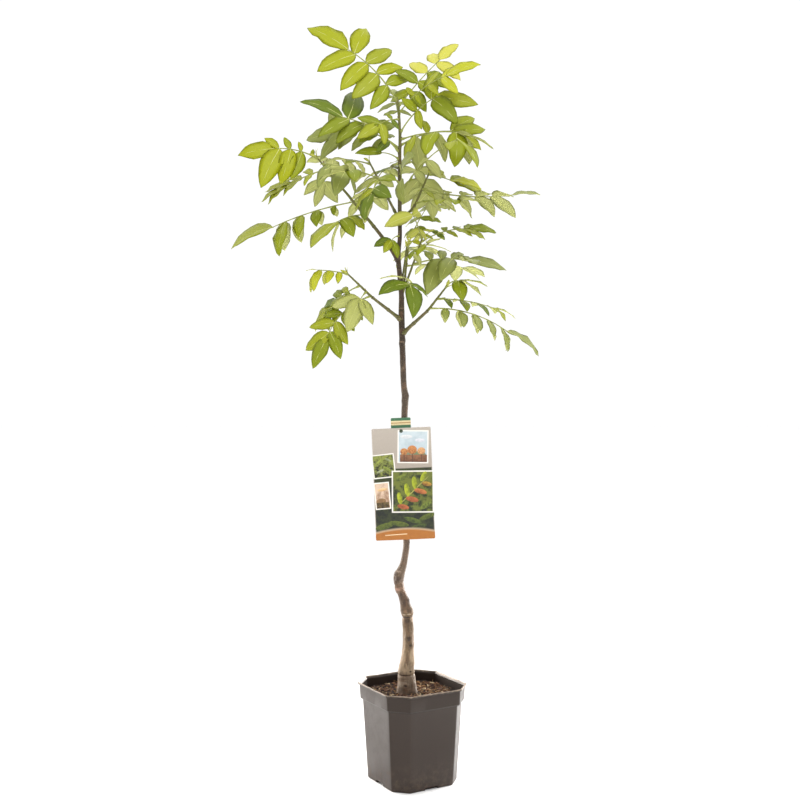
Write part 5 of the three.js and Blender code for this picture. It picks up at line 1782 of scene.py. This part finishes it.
def make_card():
    """The stiff card with its tab, cut from a grid, rounded at its corners and bowed a little."""
    wide, high = LABEL["wide"] / 2, LABEL["high"] / 2
    tab, top = LABEL["tab_wide"] / 2, high + LABEL["tab_high"]
    bm = bmesh.new()
    bmesh.ops.create_grid(bm, x_segments=14, y_segments=26, size=1)
    left, right = np.linspace(-wide, -tab, 6), np.linspace(tab, wide, 6)
    columns = np.concatenate([left, np.linspace(-tab, tab, 5)[1:-1], right])
    levels = np.concatenate([np.linspace(-high, high, 25), np.linspace(high, top, 3)[1:]])
    for corner in bm.verts:
        corner.co.x = columns[round((corner.co.x + 1) * 7)]
        corner.co.y = levels[round((corner.co.y + 1) * 13)]
    middles = [(face, face.calc_center_median()) for face in bm.faces]
    beside = [face for face, middle in middles if middle.y > high and abs(middle.x) > tab]
    bmesh.ops.delete(bm, geom=beside, context="FACES")
    loose = [corner for corner in bm.verts if not corner.link_faces]
    bmesh.ops.delete(bm, geom=loose, context="VERTS")
    ends = [corner for corner in bm.verts if len(corner.link_faces) == 1]
    cut_corners(bm, ends, 2.4, 4)
    for corner in bm.verts:
        across, up = corner.co.x, corner.co.y
        x, z = card_place(across, up)
        wave = 0.8 * noise.noise(Vector((across, up, 0)) * 0.012)
        corner.co = (x, LABEL["front"] + CARD_BOW * (across / wide) ** 2 + wave, z)
    back = bmesh.ops.extrude_face_region(bm, geom=bm.faces[:])["geom"]
    back_corners = [item for item in back if isinstance(item, bmesh.types.BMVert)]
    bmesh.ops.translate(bm, verts=back_corners, vec=(0, LABEL["thick"], 0))
    finishes = [CARD_PRINTED, CARD_BACK]
    card = finished(bm, "label_card_print", finishes, "label_card", "label_card", crease=50)
    for face in card.data.polygons:
        if face.normal.y > 0.5:
            face.material_index = finishes.index(CARD_BACK)


COLLAR_HALF = 1.0  # half the band's thickness
# How far the pin sinks into the band, how far its middle is behind the card's face, and its head's
# share of the plain radius, flatness and height above the face.
PIN = dict(sunk=4, middle=3.4, head=0.86, flat=0.42, proud=0.3)


def make_collar(middle):
    """A soft band, its edges rounded, spun round the trunk."""
    bm = bmesh.new()
    profile = bmesh.ops.create_grid(bm, x_segments=1, y_segments=1, size=1)["verts"]
    bmesh.ops.scale(bm, verts=profile, vec=(COLLAR_HALF, TIE["high"] / 2, 1))
    cut_corners(bm, profile, 0.6, 3)
    turn_all(bm, 90, "X")
    beside = (middle[0] + TIE["collar"] / 2 - COLLAR_HALF, middle[1], middle[2])
    bmesh.ops.translate(bm, verts=bm.verts, vec=beside)
    edges = bm.edges[:]
    bmesh.ops.delete(bm, geom=bm.faces[:], context="FACES_ONLY")
    bmesh.ops.spin(bm, geom=edges, cent=middle, axis=(0, 0, 1), dvec=(0, 0, 0), angle=2 * math.pi,
                   steps=40, use_merge=True)
    finished(bm, "label_tie_collar", [TIE_RUBBER], "label_tie", "label_tie", crease=50)


def make_pin(x, z, collar_front):
    """The pin from the collar through the card, with a flat round head in front."""
    pin = bmesh.new()
    front = LABEL["front"] - GAP
    level = spin_of(90, "X").to_4x4()
    bmesh.ops.create_cone(pin, segments=20, cap_ends=True, radius1=TIE["pin"] / 2, radius2=TIE["pin"] / 2,
                          depth=abs(collar_front - front) + PIN["sunk"],
                          matrix=Matrix.Translation((x, front + PIN["middle"], z)) @ level)
    radius = TIE["head"] / 2 * PIN["head"]
    head = bmesh.ops.create_uvsphere(pin, u_segments=24, v_segments=12, radius=radius)["verts"]
    for corner in head:
        corner.co = Vector((corner.co.x, corner.co.z * PIN["flat"], corner.co.y))
    bmesh.ops.translate(pin, verts=head, vec=(x, front - PIN["proud"], z))
    finished(pin, "label_tie_pin", [TIE_RUBBER], "label_tie", crease=50)


def make_tie():
    """The collar round the trunk and the pin that holds the card to it."""
    x, z = card_place(0, LABEL["high"] / 2 - LABEL["pin_below"])
    middle = trunk_at(z)
    make_collar(middle)
    make_pin(x, z, middle[1] - TIE["collar"] / 2 + COLLAR_HALF)


make_card()
make_tie()

# ---------------------------------------------------------------- camera, light and floor

CAMERA = dict(place=(-0.024, -2.1526, 0.7441), lens=49.23, near=0.05)  # metres and millimetres


def make_camera():
    """Level, in front of the tree, a little to the left of the pot's middle."""
    camera = new_object("camera", bpy.data.cameras.new("camera"))
    camera.location = CAMERA["place"]
    camera.rotation_euler = (math.radians(90), 0, 0)
    camera.data.lens = CAMERA["lens"]
    camera.data.clip_start = CAMERA["near"]
    bpy.context.scene.camera = camera
    bpy.context.scene.view_settings.view_transform = "Standard"


def add_lamp(name, place, aim, wide, high, power, tint=(1, 1, 1), spread=180):
    """A softbox that faces a point, its light held within a spread in degrees. Sizes are in metres."""
    lamp = bpy.data.lights.new(name, "AREA")
    lamp.shape = "RECTANGLE"
    lamp.size = wide
    lamp.size_y = high
    lamp.energy = power
    lamp.color = tint
    lamp.spread = math.radians(spread)
    box = new_object(name, lamp)
    box.location = place
    box.rotation_euler = (Vector(aim) - Vector(place)).to_track_quat("-Z", "Y").to_euler()


# How bright the sky is: in front of the tree, how much more behind it, on either side and overhead.
SKY = dict(front=0.3, behind=0.74, side=0.5, overhead=0.35, seen=1.05)


def make_sky():
    """Plain white to the camera. As light it is dim in front of the tree, brighter behind it, brighter
    still at the far left and right, and brightest overhead. Below the horizon it is dark, so that
    what faces down is lit by the floor alone."""
    sky = bpy.data.worlds.new("studio")
    sky.use_nodes = True
    w = Wiring(sky.node_tree)
    background = sky.node_tree.nodes["Background"]
    way = sky.node_tree.nodes.new("ShaderNodeTexCoord").outputs["Generated"]
    split = w.add("ShaderNodeSeparateXYZ", Vector=way).outputs
    light = w.math("MULTIPLY_ADD", w.mask(split[1], -0.75, 0.55), SKY["behind"], SKY["front"])
    for low, high in ((0.35, 0.9), (-0.6, -0.9)):
        light = w.plus(light, w.times(w.mask(split[0], low, high), SKY["side"]))
    light = w.times(light, w.mask(split[2], -0.06, 0.0))
    light = w.plus(light, w.times(w.mask(split[2], 0.1, 0.9), SKY["overhead"]))
    seen = sky.node_tree.nodes.new("ShaderNodeLightPath").outputs["Is Camera Ray"]
    unseen = w.times(w.minus(1.0, seen), light)
    strength = w.plus(w.times(seen, SKY["seen"]), unseen)
    w.put(background.inputs["Color"], (1, 1, 1, 1))
    w.put(background.inputs["Strength"], strength)
    bpy.context.scene.world = sky


def make_floor():
    """A wide white floor, which is staging and no part of the tree."""
    bm = bmesh.new()
    bmesh.ops.create_grid(bm, x_segments=1, y_segments=1, size=30)
    mesh = mesh_of(bm, "floor")
    mesh.materials.append(plain_finish("floor_white", (0.93, 0.93, 0.93, 1), 0.9))
    new_object("floor", mesh)


make_camera()
add_lamp("key_softbox", (0.3, -2.4, 2.9), (0, 0, 0.8), 2.2, 2.2, 51)
# Two low softboxes a little behind the pot, whose narrow beams light its sides and stay off the leaves.
add_lamp("left_low_softbox", (-1.25, 0.8, 0.5), (-0.15, 0, 0.04), 0.9, 0.6, 6.5, (1, 0.94, 0.88), 64)
add_lamp("right_low_softbox", (1.2, 0.95, 0.5), (0.15, 0, 0.04), 0.9, 0.6, 10, (1, 0.97, 0.94), 64)
make_sky()
make_floor()

bpy.context.view_layer.update()
